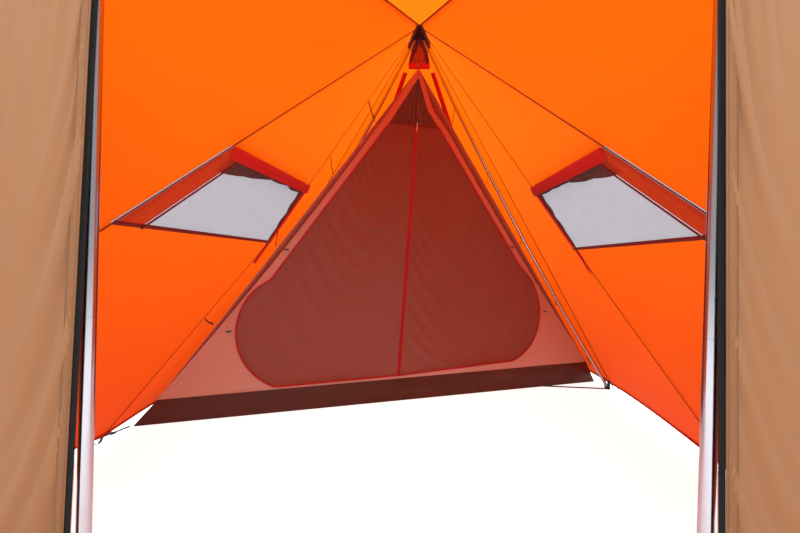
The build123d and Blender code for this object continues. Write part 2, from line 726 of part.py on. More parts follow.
def inner_hooks():
    """Plastic hooks on the ends of the elastic tabs, and three hooks at the inner's peak."""
    hooks = []
    for start, end in hanger_ends():
        hook_start = between(start, end, HOOK_SHARE + 0.01)
        hooks.append(strap(hook_start, between(start, end, 0.97), 10, HOOK_THICKNESS, Vector(0, 0, 1)))
    for x in (-PEAK_HOOK_SPACING, 0, PEAK_HOOK_SPACING):
        top = Vector(x, 30, 2080)
        foot = INNER_APEX + Vector(x * 0.4, 27, 24)
        hooks.append(strap(top, foot, 7, HOOK_THICKNESS, Vector(1, 0, 0)))
    save("inner_hooks", *hooks)


TOGGLES = [(-942, 296), (-668, 706), (930, 344), (708, 762)]
TOGGLE_RADIUS = 3


def door_toggles():
    """Toggles beside the door that hold its rolled halves open."""
    toggles = []
    for across, up in TOGGLES:
        side = 1 if across > 0 else -1
        beside = (across + side * 18, up, CLOTH + TOGGLE_RADIUS + SEWN_GAP)
        toggles.append(WALL_PLANE * Location(beside, (0, 90, 0)) * Cylinder(TOGGLE_RADIUS, 26))
    save("door_toggles", *toggles)


for side_name, side_sign in SIDES.items():
    fly_side_panels(side_name, side_sign)
    fly_lower_panel(side_name, side_sign)
    window_film(side_name, side_sign)
    window_frame(side_name, side_sign)
    window_cover(side_name, side_sign)
    front_wall(side_name, side_sign)
    front_zip_slider(side_name, side_sign)
    uprights(side_name, side_sign)
    leg_sections(side_name, side_sign)
fly_middle_panels()
apex_patch()
front_header()
front_door_roll()
front_door_ties()
front_zip_tapes()
upright_tips()
pole_spigots()
pole_feet()
apex_hub()
base_strap()
foot_webbing()
hem_tabs()
peg_rings()
corner_strap()
corner_buckle()
tub_floor()
tub_walls()
inner_walls()
inner_front_wall()
inner_doors()
inner_zip_slider()
inner_zip_pull()
inner_hangers()
inner_hooks()
door_toggles()
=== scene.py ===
import math

import bpy
import numpy as np
from mathutils import Matrix, Vector, noise


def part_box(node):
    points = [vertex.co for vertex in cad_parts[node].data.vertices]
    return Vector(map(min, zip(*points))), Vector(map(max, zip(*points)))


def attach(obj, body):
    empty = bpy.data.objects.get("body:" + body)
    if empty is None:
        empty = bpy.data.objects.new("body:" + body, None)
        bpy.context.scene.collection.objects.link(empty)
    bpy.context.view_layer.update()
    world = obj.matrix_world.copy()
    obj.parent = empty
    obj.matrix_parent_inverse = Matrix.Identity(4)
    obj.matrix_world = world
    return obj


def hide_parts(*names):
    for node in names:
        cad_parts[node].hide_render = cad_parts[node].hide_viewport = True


# The looks of the two-room pyramid tent, in metres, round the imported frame: stretched fly panels,
# windows, hanging front walls with zips, the inner tent with its door, mesh vent and tub floor,
# and the straps, hooks and stitching that hold them together.

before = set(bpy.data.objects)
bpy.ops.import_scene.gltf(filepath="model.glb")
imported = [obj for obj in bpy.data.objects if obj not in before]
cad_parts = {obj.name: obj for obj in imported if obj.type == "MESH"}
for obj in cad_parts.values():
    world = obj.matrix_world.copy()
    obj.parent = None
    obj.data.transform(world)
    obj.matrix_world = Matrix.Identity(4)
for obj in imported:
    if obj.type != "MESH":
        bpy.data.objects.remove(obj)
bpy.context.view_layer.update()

SIDES = {"left": -1, "right": 1}
TENT = "tent"
INSIDE = Vector((0, -0.1, 0.9))


# ---- Places, read from the frame ----
def furthest(node, direction):
    """The vertex of a CAD node that lies furthest along a direction."""
    way = Vector(direction)
    return max((v.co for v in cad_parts[node].data.vertices), key=way.dot).copy()


APEX = furthest("fly_upper_right", (0, 0, 1))
CORNER = furthest("fly_roof_front", (1, -1, -5))
SHOULDER = {side: furthest(f"fly_roof_{name}", (side, -1, -5)) for name, side in SIDES.items()}
BEND = {side: furthest(f"window_film_{name}", (4 * side, 1, -3)) for name, side in SIDES.items()}
FRONT_GROUND = furthest("front_wall_right", (1, 1, -1))
MID_HEM = {side: furthest(f"fly_side_{name}", (0, -1, -1)) for name, side in SIDES.items()}
SIDE_HEM = furthest("fly_side_right", (1, 1, -3))
REAR_HEM = furthest("fly_rear_side_right", (0, 1, -1))
JAMB_FOOT = furthest("front_wall_right", (-1, 1, -3))
JAMB_TOP = furthest("front_wall_right", (-1, 1, 3))
WINDOW_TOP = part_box("fly_upper_right")[0].z
WINDOW_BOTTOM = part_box("window_film_right")[0].z
TUB_TOP_LEFT = furthest("inner_wall_left", (0, -1, -1))
TUB_TOP_RIGHT = furthest("inner_wall_right", (1, 0, -1))
TUB_TOP_REAR = furthest("inner_wall_back", (1, 0, -1))
INNER_APEX = furthest("inner_wall_left", (0, 0, 1))
TUB_FRONT_LEFT = furthest("tub_floor", (-1, -1, 1))
TUB_KINK = furthest("tub_floor", (0.05, -1, 0))
TUB_FRONT_RIGHT = furthest("tub_floor", (1, 0, 1))
TUB_REAR = furthest("tub_floor", (1, 3, 1))

# The inner's front wall is flat: across along the tub's top edge, up the slope, and outwards.
WALL_ORIGIN = (TUB_TOP_LEFT + TUB_TOP_RIGHT) / 2
WALL_ACROSS = (TUB_TOP_RIGHT - TUB_TOP_LEFT).normalized()
WALL_OUT = (INNER_APEX - WALL_ORIGIN).cross(WALL_ACROSS).normalized()
WALL_UP = WALL_OUT.cross(WALL_ACROSS)
if WALL_OUT.y > 0:
    WALL_OUT = -WALL_OUT
if WALL_UP.z < 0:
    WALL_UP = -WALL_UP

# Its outline, (across, up), as the CAD wall has it.
WALL_HALF = 1.257
WALL_PEAK = (0.124, 1.876)
WALL_LEFT_BULGE = (-0.648, 0.770)
WALL_RIGHT_BULGE = (0.728, 0.790)
WALL_RIGHT_NECK = [(0.298, 1.492), (0.206, 1.610)]
DOOR_TOP_LEFT = (-0.085, 1.493)
DOOR_TOP_RIGHT = (0.244, 1.500)
DOOR_HINGE_LEFT = (-0.765, 0.548)
DOOR_HINGE_RIGHT = (0.780, 0.635)
DOOR_LEFT_BULGE = (-0.925, 0.250)
DOOR_RIGHT_BULGE = (0.905, 0.330)
DOOR_FOOT_LEFT = (-0.743, 0.016)
DOOR_FOOT_RIGHT = (0.670, 0.048)
ZIP_TOP = (0.092, 1.500)
ZIP_FOOT = (-0.085, 0.020)
VENT_PEAK = (0.1188, 1.815)
VENT_KNEE = (0.172, 1.608)


def on_wall(point, out=0.0):
    return WALL_ORIGIN + WALL_ACROSS * point[0] + WALL_UP * point[1] + WALL_OUT * out


def mirror(point, side):
    return Vector((side * point.x, point.y, point.z))


def lerp(start, end, share):
    return start + (end - start) * share


def at_height(start, end, height):
    return lerp(start, end, (height - start.z) / (end.z - start.z))


def line(start, end):
    """A straight edge, as a function of 0 to 1."""
    return lambda share: lerp(start, end, share)


def chain(points):
    """A path through points, as a function of 0 to 1 by its length."""
    steps = [(b - a).length for a, b in zip(points, points[1:])]
    marks = np.concatenate([[0], np.cumsum(steps)]) / sum(steps)
    table = np.array([list(p) for p in points])
    return lambda share: Vector([np.interp(share, marks, table[:, i]) for i in range(3)])


def arc(start, middle, end, count=24):
    """Flat points on the circle through three flat points, from start to end."""
    (ax, ay), (bx, by), (cx, cy) = start, middle, end
    d = 2 * (ax * (by - cy) + bx * (cy - ay) + cx * (ay - by))
    a, b, c = ax * ax + ay * ay, bx * bx + by * by, cx * cx + cy * cy
    ox = (a * (by - cy) + b * (cy - ay) + c * (ay - by)) / d
    oy = (a * (cx - bx) + b * (ax - cx) + c * (bx - ax)) / d
    radius = math.hypot(ax - ox, ay - oy)
    first = math.atan2(ay - oy, ax - ox)
    turns = [math.atan2(y - oy, x - ox) - first for x, y in (middle, end)]
    turns = [(t + 4 * math.pi) % (2 * math.pi) for t in turns]
    if turns[0] > turns[1]:
        turns[1] -= 2 * math.pi
    angles = [first + turns[1] * i / count for i in range(count + 1)]
    return [(ox + radius * math.cos(t), oy + radius * math.sin(t)) for t in angles]


# ---- Materials ----
def srgb(red, green, blue):
    """A display colour as the linear one that shaders take."""
    shares = [c / 255 for c in (red, green, blue)]
    return [s / 12.92 if s <= 0.04045 else ((s + 0.055) / 1.055) ** 2.4 for s in shares] + [1]


class Look:
    """A material under construction."""

    def __init__(self, name):
        self.material = bpy.data.materials.new(name)
        self.material.use_nodes = True
        self.tree = self.material.node_tree
        self.tree.nodes.clear()
        self.output = self.tree.nodes.new("ShaderNodeOutputMaterial")

    def add(self, kind, settings=None, **inputs):
        """A node. An input is a value, or another node's output to link."""
        node = self.tree.nodes.new("ShaderNode" + kind)
        for key, value in (settings or {}).items():
            setattr(node, key, value)
        for key, value in inputs.items():
            names = [s.name for s in node.inputs]
            wanted = key.replace("_", " ")
            socket = node.inputs[int(key[1:]) if key[0] == "i" and key[1:].isdigit() else names.index(wanted)]
            if isinstance(value, bpy.types.NodeSocket):
                self.tree.links.new(value, socket)
            else:
                socket.default_value = value
        return node

    def mix(self, share, first, second):
        node = self.add("Mix", {"data_type": "RGBA"})
        for socket, value in ((node.inputs[0], share), (node.inputs[6], first), (node.inputs[7], second)):
            if isinstance(value, bpy.types.NodeSocket):
                self.tree.links.new(value, socket)
            else:
                socket.default_value = value
        return node.outputs[2]

    def sum_of(self, *parts):
        """Adds up (output, weight) pairs."""
        total = None
        for output, weight in parts:
            scaled = self.add("Math", {"operation": "MULTIPLY"}, i0=output, i1=weight).outputs[0]
            if total is not None:
                scaled = self.add("Math", {"operation": "ADD"}, i0=total, i1=scaled).outputs[0]
            total = scaled
        return total

    def between(self, output, low, high):
        """Brings a 0 to 1 output to low to high."""
        node = self.add("MapRange", Value=output)
        node.inputs["To Min"].default_value = low
        node.inputs["To Max"].default_value = high
        return node.outputs[0]

    def painted_light_ramp(self, low, high):
        """0 up to one height in the frame, and 1 from another height on: the ramp that paints light and shade by
        height.
        """
        place = self.add("TexCoord").outputs["Object"]
        height = self.add("SeparateXYZ", Vector=place).outputs[2]
        node = self.add("MapRange", Value=height)
        node.inputs["From Min"].default_value = low
        node.inputs["From Max"].default_value = high
        return node.outputs[0]

    def skin(self, base, roughness, bump, settings=None):
        """The surface's own shader, with the sockets named in settings at one value all over."""
        node = self.add("BsdfPrincipled", Base_Color=base, Roughness=roughness, Normal=bump)
        for socket, value in (settings or {}).items():
            node.inputs[socket].default_value = value
        return node

    def finish(self, shader):
        self.tree.links.new(shader.outputs[0], self.output.inputs["Surface"])
        return self.material


def bands(look, where, direction, pitch):
    """Waves of a pitch in metres, along X or Y of the given coordinates."""
    settings = {"wave_type": "BANDS", "bands_direction": direction}
    return look.add("TexWave", settings, Vector=where, Scale=math.tau / (20 * pitch)).outputs["Fac"]


def cloth(name, colour, shade, glow=None, share=0.0, rough=(0.45, 0.7), sheen=0.15, creases=0.0015,
          pitch=0.007, streak=(26.0, 1.6), low=None, rise=(0.2, 1.4)):
    """Woven cloth, by its own flat coordinates in metres: a ripstop grid, threads, soft creases
    that run along its length, and if share is over 0, glow for the light that comes through. Its
    colour and glow turn to low at the lower height of rise: light and shade painted by height."""
    look = Look(name)
    flat = look.add("TexCoord").outputs["UV"]
    large = look.add("TexNoise", Vector=flat, Scale=3.0, Detail=3.0).outputs[0]
    stretched = look.add("Mapping", Vector=flat, Scale=(streak[0], streak[1], 1.0)).outputs[0]
    streaks = look.add("TexNoise", Vector=stretched, Scale=1.0, Detail=3.0, Roughness=0.55).outputs[0]
    fibre = look.add("TexNoise", Vector=flat, Scale=900.0, Detail=1.0).outputs[0]
    warp = bands(look, flat, "X", pitch)
    weft = bands(look, flat, "Y", pitch)
    grid = look.add("Math", {"operation": "MAXIMUM"}, i0=warp, i1=weft).outputs[0]
    rib = look.add("Math", {"operation": "POWER"}, i0=grid, i1=24.0).outputs[0]
    tone = look.sum_of((large, 0.5), (streaks, 0.42), (fibre, 0.14), (rib, 0.10))
    base = look.mix(tone, colour, shade)
    # Painted light and shade: towards the lower height of rise the colour turns to low.
    if low is not None:
        base = look.mix(look.painted_light_ramp(*rise), low, base)
    height = look.sum_of((streaks, 1.0), (large, 0.6), (rib, 0.05), (fibre, 0.03))
    bump = look.add("Bump", Height=height, Distance=creases, Strength=0.9).outputs[0]
    roughness = look.between(look.sum_of((fibre, 0.5), (large, 0.5)), *rough)
    skin = look.skin(base, roughness, bump, {"Sheen Weight": sheen, "Specular IOR Level": 0.3})
    if share == 0:
        return look.finish(skin)
    lit = look.mix(tone, glow, [c * 0.86 for c in glow[:3]] + [1])
    # The glow gets the same painted light and shade by height.
    if low is not None:
        lit = look.mix(look.painted_light_ramp(*rise), low, lit)
    through = look.add("BsdfTranslucent", Color=lit, Normal=bump)
    both = look.add("MixShader", i0=share, i1=skin.outputs[0], i2=through.outputs[0])
    return look.finish(both)


def webbing(name, colour, shade, pitch=0.0022, sheen=0.1):
    """Narrow woven strap, tape or binding: ribs across it, frayed fibres and uneven dye."""
    look = Look(name)
    flat = look.add("TexCoord").outputs["UV"]
    ribs = bands(look, flat, "X", pitch)
    fibre = look.add("TexNoise", Vector=flat, Scale=600.0, Detail=2.0).outputs[0]
    large = look.add("TexNoise", Vector=flat, Scale=18.0, Detail=2.0).outputs[0]
    tone = look.sum_of((ribs, 0.3), (fibre, 0.4), (large, 0.4))
    base = look.mix(tone, colour, shade)
    height = look.sum_of((ribs, 0.7), (fibre, 0.3))
    bump = look.add("Bump", Height=height, Distance=0.0004, Strength=0.8).outputs[0]
    roughness = look.between(fibre, 0.55, 0.85)
    return look.finish(look.skin(base, roughness, bump, {"Sheen Weight": sheen, "Specular IOR Level": 0.25}))


def hard(name, colour, shade, metallic, rough, grain=(60.0, 60.0, 60.0), depth=0.0001):
    """Metal, plastic or rubber, by its place in the frame: grain, fine scratches and worn spots."""
    look = Look(name)
    place = look.add("TexCoord").outputs["Object"]
    stretched = look.add("Mapping", Vector=place, Scale=grain).outputs[0]
    lines = look.add("TexNoise", Vector=stretched, Scale=4.0, Detail=4.0, Roughness=0.7).outputs[0]
    spots = look.add("TexNoise", Vector=place, Scale=9.0, Detail=3.0).outputs[0]
    tone = look.sum_of((lines, 0.5), (spots, 0.5))
    base = look.mix(tone, colour, shade)
    bump = look.add("Bump", Height=lines, Distance=depth, Strength=0.5).outputs[0]
    roughness = look.between(tone, *rough)
    return look.finish(look.skin(base, roughness, bump, {"Metallic": metallic}))


def film(name):
    """The window's milky sheet: soft light through it, and a dull shine with fine crumples."""
    look = Look(name)
    flat = look.add("TexCoord").outputs["UV"]
    crumple = look.add("TexNoise", Vector=flat, Scale=14.0, Detail=4.0, Distortion=0.8).outputs[0]
    mesh = bands(look, flat, "X", 0.004)
    tone = look.sum_of((crumple, 0.8), (mesh, 0.1))
    base = look.mix(tone, srgb(172, 174, 182), srgb(158, 160, 168))
    bump = look.add("Bump", Height=crumple, Distance=0.004, Strength=0.5).outputs[0]
    roughness = look.between(crumple, 0.25, 0.45)
    skin = look.skin(base, roughness, bump)
    through = look.add("BsdfTranslucent", Color=base, Normal=bump)
    both = look.add("MixShader", i0=0.72, i1=skin.outputs[0], i2=through.outputs[0])
    return look.finish(both)


def mesh_cloth(name, colour, shade):
    """Fine netting: dark threads with a grid of small holes in its bump, and some light let through."""
    look = Look(name)
    flat = look.add("TexCoord").outputs["UV"]
    warp = bands(look, flat, "X", 0.0035)
    weft = bands(look, flat, "Y", 0.0035)
    holes = look.add("Math", {"operation": "MULTIPLY"}, i0=warp, i1=weft).outputs[0]
    large = look.add("TexNoise", Vector=flat, Scale=22.0, Detail=3.0).outputs[0]
    base = look.mix(large, colour, shade)
    bump = look.add("Bump", Height=holes, Distance=0.0006, Strength=0.6).outputs[0]
    roughness = look.between(large, 0.6, 0.85)
    skin = look.skin(base, roughness, bump, {"Sheen Weight": 0.3})
    through = look.add("BsdfTranslucent", Color=base)
    both = look.add("MixShader", i0=0.35, i1=skin.outputs[0], i2=through.outputs[0])
    return look.finish(both)


LOOKS = {
    # The fly's low colour is painted shade: darker and redder towards the ground, where less light falls.
    "fly": cloth("fly_ripstop", srgb(255, 104, 6), srgb(246, 88, 4), srgb(255, 108, 3), 0.62,
                 low=srgb(216, 62, 1), rise=(0.0, 1.35)),
    "fly_fold": cloth("fly_folded_cloth", srgb(214, 60, 10), srgb(170, 30, 8), srgb(205, 40, 6), 0.35),
    # The flap's dark second colour, laid along its streaks, is painted shade of its gathers over its own orange.
    "flap": cloth("window_flap_cloth", srgb(236, 84, 18), srgb(176, 26, 8), srgb(255, 84, 8), 0.4, creases=0.003,
                  streak=(14.0, 3.0)),
    "seam": cloth("fly_seam_tape", srgb(140, 10, 5), srgb(92, 5, 3), srgb(130, 8, 4), 0.15, creases=0.0006),
    "red": cloth("red_trim", srgb(238, 26, 8), srgb(206, 14, 6), srgb(240, 24, 6), 0.35, creases=0.0008),
    "dark_red": cloth("peak_hood", srgb(128, 6, 5), srgb(76, 3, 3), srgb(96, 3, 2), 0.03, creases=0.003,
                      streak=(60.0, 4.0)),
    "film": film("window_film"),
    "roof": cloth("fly_roof_cloth", srgb(248, 96, 5), srgb(238, 82, 4), srgb(246, 98, 3), 0.6),
    "cover": cloth("window_cover", srgb(98, 62, 56), srgb(58, 34, 30), srgb(110, 60, 50), 0.2, creases=0.004),
    # The front walls' and hem's low colours are painted shade: darker towards the ground, where less light falls.
    "tan": cloth("front_wall_cloth", srgb(182, 134, 96), srgb(160, 112, 76), rough=(0.5, 0.72), sheen=0.1,
                 creases=0.0012, pitch=0.0035, streak=(14.0, 0.8), low=srgb(150, 98, 56), rise=(0.0, 1.5)),
    "tan_hem": cloth("front_hem_cloth", srgb(170, 122, 86), srgb(142, 96, 62), rough=(0.5, 0.75), sheen=0.1,
                     creases=0.0006, pitch=0.003, low=srgb(132, 84, 46), rise=(0.0, 1.5)),
    # The inner cloth's colour is painted light by height: paler towards the ground for the white light from the
    # floor and entrance, more orange up high for the fly's glow.
    "salmon": cloth("inner_breathable_cloth", srgb(208, 112, 84), srgb(182, 88, 64), srgb(214, 104, 62), 0.22,
                    creases=0.003, pitch=0.006, streak=(3.0, 30.0), low=srgb(214, 166, 150), rise=(0.1, 1.7)),
    # The door's low colour is painted light: paler towards the ground, for the light from the floor.
    "door": cloth("inner_door_cloth", srgb(140, 66, 50), srgb(110, 42, 30), srgb(132, 50, 34), 0.16,
                  creases=0.0035, pitch=0.005, streak=(16.0, 1.2), low=srgb(148, 88, 76), rise=(0.0, 1.6)),
    "vent": mesh_cloth("vent_netting", srgb(124, 52, 38), srgb(80, 28, 20)),
    "tub": cloth("tub_coated_cloth", srgb(94, 44, 22), srgb(58, 24, 10), rough=(0.3, 0.5), sheen=0.05,
                 creases=0.003, pitch=0.008, streak=(9.0, 14.0)),
    "black_tape": webbing("black_webbing", srgb(26, 22, 24), srgb(10, 8, 9)),
    "zip_tape": webbing("front_zip_tape", srgb(8, 6, 6), srgb(3, 2, 2), sheen=0.0),
    "elastic": webbing("hanger_elastic", srgb(64, 20, 16), srgb(34, 10, 8), 0.0016),
    "red_tape": webbing("red_webbing", srgb(200, 22, 22), srgb(140, 10, 12)),
    "aluminium": hard("anodised_aluminium", srgb(196, 194, 200), srgb(168, 168, 178), 1.0, (0.13, 0.26),
                      (40.0, 40.0, 1.5), 0.00004),
    "steel": hard("zinc_plated_steel", srgb(190, 190, 196), srgb(140, 140, 150), 1.0, (0.22, 0.45)),
    "zip_metal": hard("zip_slider_metal", srgb(70, 66, 70), srgb(38, 34, 38), 1.0, (0.3, 0.5)),
    "rubber": hard("black_rubber", srgb(34, 34, 36), srgb(18, 18, 20), 0.0, (0.6, 0.85), depth=0.0004),
    "plastic": hard("black_plastic", srgb(30, 28, 32), srgb(16, 14, 18), 0.0, (0.35, 0.55), depth=0.0002),
    "coil": hard("zip_coil", srgb(10, 7, 7), srgb(4, 3, 3), 0.0, (0.6, 0.8), depth=0.0002),
    "red_coil": hard("inner_zip_coil", srgb(190, 20, 22), srgb(120, 8, 12), 0.0, (0.35, 0.6), depth=0.0002),
    "pull": hard("zip_pull_cord", srgb(226, 190, 150), srgb(196, 152, 112), 0.0, (0.55, 0.75), depth=0.0004),
    "thread": hard("stitching_thread", srgb(150, 104, 66), srgb(120, 80, 48), 0.0, (0.6, 0.8), depth=0.0002),
}


# ---- Meshes ----
def new_mesh(name, points, faces, look, flats, body=TENT):
    """A mesh object that rides on a body. flats are each point's flat coordinates in metres."""
    data = bpy.data.meshes.new(name)
    data.from_pydata([list(p) for p in points], [], [list(f) for f in faces])
    layer = data.uv_layers.new(name="flat")
    order = np.empty(len(data.loops), int)
    data.loops.foreach_get("vertex_index", order)
    layer.data.foreach_set("uv", np.asarray(flats, np.float32)[order].ravel())
    data.materials.append(LOOKS[look])
    data.polygons.foreach_set("use_smooth", [True] * len(data.polygons))
    data.update()
    obj = bpy.data.objects.new(name, data)
    bpy.context.scene.collection.objects.link(obj)
    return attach(obj, body)


def wave(seed, across, along):
    """Smooth uneven folds, from -1 to 1."""
    return noise.noise(Vector((across, along, seed * 7.31)))


def sheet_between(name, first, second, rows, columns, look, bend, slack=0.0, body=TENT, out=None):
    """A sheet ruled between two edges, which may start at one point. bend(along, across) is its
    height over the flat one, and slack curves its last row back by that share of its length."""
    normal = (second(1) - first(0)).cross(first(1) - second(0)).normalized()
    if out is None:
        out = (first(0.5) + second(0.5)) / 2 - INSIDE
    if normal.dot(out) < 0:
        normal = -normal
    tip = (first(0) - second(0)).length < 1e-6
    points, flats, faces = [], [], []
    length = (first(1) - first(0)).length
    for i in range(rows + 1):
        for j in range(columns + 1):
            across = j / columns
            along = i / rows * (1 - slack * 4 * across * (1 - across))
            start = first(along)
            end = second(along)
            points.append(lerp(start, end, across) + normal * bend(along, across))
            flats.append(((across - 0.5) * (end - start).length, along * length))
    for i in range(rows):
        for j in range(columns):
            a = i * (columns + 1) + j
            b = a + columns + 1
            if tip and i == 0:
                faces.append((0, b, b + 1))
            else:
                faces.append((a, b, b + 1, a + 1))
    if tip:
        used = [0] + list(range(columns + 1, len(points)))
        renumber = {old: new for new, old in enumerate(used)}
        points = [points[k] for k in used]
        flats = [flats[k] for k in used]
        faces = [[renumber[k] for k in face] for face in faces]
    record_cut(first, second, rows, slack)
    return new_mesh(name, points, faces, look, flats, body)


LEAST_FILL = 0.32           # a long bent cut is laid out so that it fills this much of its rectangle


def record_cut(first, second, rows, slack):
    """Works out the size of the flat cloth between two edges: widest row, longer edge and area; nothing keeps it."""
    widths, area = [], 0.0
    ends = [(first(i / rows), second(i / rows)) for i in range(rows + 1)]
    for (a, b), (c, d) in zip(ends, ends[1:]):
        widths.append((d - c).length)
        area += (b - a).cross(c - a).length / 2 + (c - d).cross(b - d).length / 2
    lengths = [sum((p[k] - q[k]).length for p, q in zip(ends, ends[1:])) for k in (0, 1)]
    length = max(lengths)
    area *= 1 - slack * 2 / 3
    width = min(max(widths), area / (LEAST_FILL * length))
    area = min(area, width * length)


def strip_section(width, thickness):
    """The section of a strap: a flat one with rounded edges."""
    half, rise = width / 2, thickness / 2
    edge = min(rise, half) * 0.6
    corner = [(-half, -rise + edge), (-half, rise - edge), (-half + edge, rise)]
    far_side = [(-x, y) for x, y in corner[::-1]]
    return corner + far_side + [(half - edge, -rise), (-half + edge, -rise)]


def round_section(radius, count=10):
    return [(radius * math.cos(math.tau * i / count), radius * math.sin(math.tau * i / count)) for i in range(count)]


def tube_faces(rings, count):
    """The sides and the two end caps of a tube of rings with count points each."""
    faces = []
    for i in range(rings - 1):
        for k in range(count):
            a = i * count + k
            b = i * count + (k + 1) % count
            faces.append((a, b, b + count, a + count))
    last = (rings - 1) * count
    return faces + [tuple(range(count - 1, -1, -1)), tuple(range(last, last + count))]


def swept(path, section, out):
    """Points, faces and flat coordinates of a section carried along a path. out is the outward
    way: one vector, or a list with one for each point of the path."""
    count = len(section)
    points, flats = [], []
    ways = out if isinstance(out, list) else [Vector(out)] * len(path)
    travelled = 0.0
    around = np.cumsum([0] + [math.dist(section[k], section[k - 1]) for k in range(1, count)])
    for i, centre in enumerate(path):
        before = path[max(i - 1, 0)]
        after = path[min(i + 1, len(path) - 1)]
        along = (after - before).normalized()
        across = along.cross(ways[i]).normalized()
        rise = across.cross(along)
        travelled += (centre - before).length if i else 0.0
        for k, (x, y) in enumerate(section):
            points.append(centre + across * x + rise * y)
            flats.append((travelled, around[k]))
    return points, tube_faces(len(path), count), flats


def strip(path, width, thickness, out):
    """A strap carried along a path."""
    return swept(path, strip_section(width, thickness), out)


def joined(name, parts, look, body=TENT):
    """One object of several (points, faces, flats)."""
    points, faces, flats = [], [], []
    for some_points, some_faces, some_flats in parts:
        shift = len(points)
        points += some_points
        flats += some_flats
        faces += [[k + shift for k in face] for face in some_faces]
    return new_mesh(name, points, faces, look, flats, body)


def sampled(curve, count):
    return [curve(i / count) for i in range(count + 1)]


def path_length(path):
    return sum((b - a).length for a, b in zip(path, path[1:]))


STITCH_PITCH = 0.0045
STITCH_LENGTH = 0.003
THREAD_WIDTH = 0.0009


def stitches(path, out):
    """A row of thread stitches, each a small raised loop, along a path."""
    curve = chain(path)
    count = int(path_length(path) / STITCH_PITCH)
    parts = []
    for i in range(count):
        start = curve((i + 0.2) / count)
        end = curve((i + 0.2 + STITCH_LENGTH / STITCH_PITCH) / count)
        middle = (start + end) / 2 + out * THREAD_WIDTH * 0.5
        parts.append(swept([start, middle, end], round_section(THREAD_WIDTH / 2, 5), out))
    return parts


COIL_RISE = 0.0011
COIL_WIRE = 0.0009


def teeth(path, out, pitch=0.0026, reach=0.0032):
    """A zip's coil: one small rounded loop for each tooth."""
    curve = chain(path)
    count = int(path_length(path) / pitch)
    parts = []
    for i in range(count):
        centre = curve((i + 0.5) / count)
        ahead = (curve(min(1, (i + 1) / count)) - curve(i / count)).normalized()
        across = ahead.cross(out).normalized() * reach
        route = [centre - across, centre + out * COIL_RISE, centre + across]
        parts.append(swept(route, round_section(COIL_WIRE, 5), ahead))
    return parts


def declare(obj):
    """Hands the cloth object back unchanged; nothing is declared about its flat cut."""
    return obj


def assign(node, look):
    """Gives a CAD node that keeps its shape a better material."""
    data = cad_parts[node].data
    data.materials.clear()
    data.materials.append(LOOKS[look])


DRAPE_FRAMES = 26
VERTEX_MASS = 0.15


def drape(obj, fixed, slack):
    """Lets a cloth hang by its own weight between its fixed vertices, and keeps the shape it
    settles in. slack is how much longer its threads are than the shape it was laid out in."""
    scene = bpy.context.scene
    group = obj.vertex_groups.new(name="fixed")
    group.add(fixed, 1.0, "REPLACE")
    modifier = obj.modifiers.new("drape", "CLOTH")
    settings = modifier.settings
    settings.quality = 5
    settings.mass = VERTEX_MASS
    settings.shrink_min = -slack
    settings.air_damping = 6
    settings.bending_stiffness = 0.2
    settings.vertex_group_mass = group.name
    modifier.collision_settings.use_collision = False
    modifier.point_cache.frame_end = DRAPE_FRAMES
    for number in range(1, DRAPE_FRAMES + 1):
        scene.frame_set(number)
    shaped = obj.evaluated_get(bpy.context.evaluated_depsgraph_get()).data
    places = np.empty(len(shaped.vertices) * 3, np.float32)
    shaped.vertices.foreach_get("co", places)
    obj.modifiers.remove(modifier)
    obj.vertex_groups.remove(group)
    obj.data.vertices.foreach_set("co", places)
    obj.data.update()
    scene.frame_set(1)


def grid_edges(rows, columns, sides):
    """The vertices of a ruled sheet on the named sides: low, high, first and second."""
    picks = {"low": [(0, j) for j in range(columns + 1)], "high": [(rows, j) for j in range(columns + 1)],
             "first": [(i, 0) for i in range(rows + 1)], "second": [(i, columns) for i in range(rows + 1)]}
    return sorted({i * (columns + 1) + j for side in sides for i, j in picks[side]})


# ---- Camera, floor and light ----
CAMERA_PLACE = Vector((0.0727, -2.7802, 0.75))
CAMERA_YAW = -0.0567
CAMERA_PITCH = -0.0053
CAMERA_ROLL = 0.0272
CAMERA_LENS = 19.35         # mm, over a frame 36 mm wide


def make_camera():
    data = bpy.data.cameras.new("camera")
    data.lens = CAMERA_LENS
    data.sensor_width = 36
    data.clip_start = 0.05
    data.clip_end = 100
    camera = bpy.data.objects.new("camera", data)
    flat = math.cos(CAMERA_PITCH)
    ahead = Vector((math.sin(CAMERA_YAW) * flat, math.cos(CAMERA_YAW) * flat, math.sin(CAMERA_PITCH)))
    level = Vector((math.cos(CAMERA_YAW), -math.sin(CAMERA_YAW), 0))
    raised = level.cross(ahead)
    right = level * math.cos(CAMERA_ROLL) + raised * math.sin(CAMERA_ROLL)
    up = raised * math.cos(CAMERA_ROLL) - level * math.sin(CAMERA_ROLL)
    turn = Matrix((right, up, -ahead)).transposed().to_4x4()
    camera.matrix_world = Matrix.Translation(CAMERA_PLACE) @ turn
    bpy.context.scene.collection.objects.link(camera)
    bpy.context.scene.camera = camera


FLOOR_HALF = 30
FLOOR_Z = -0.001            # just under the tent's feet


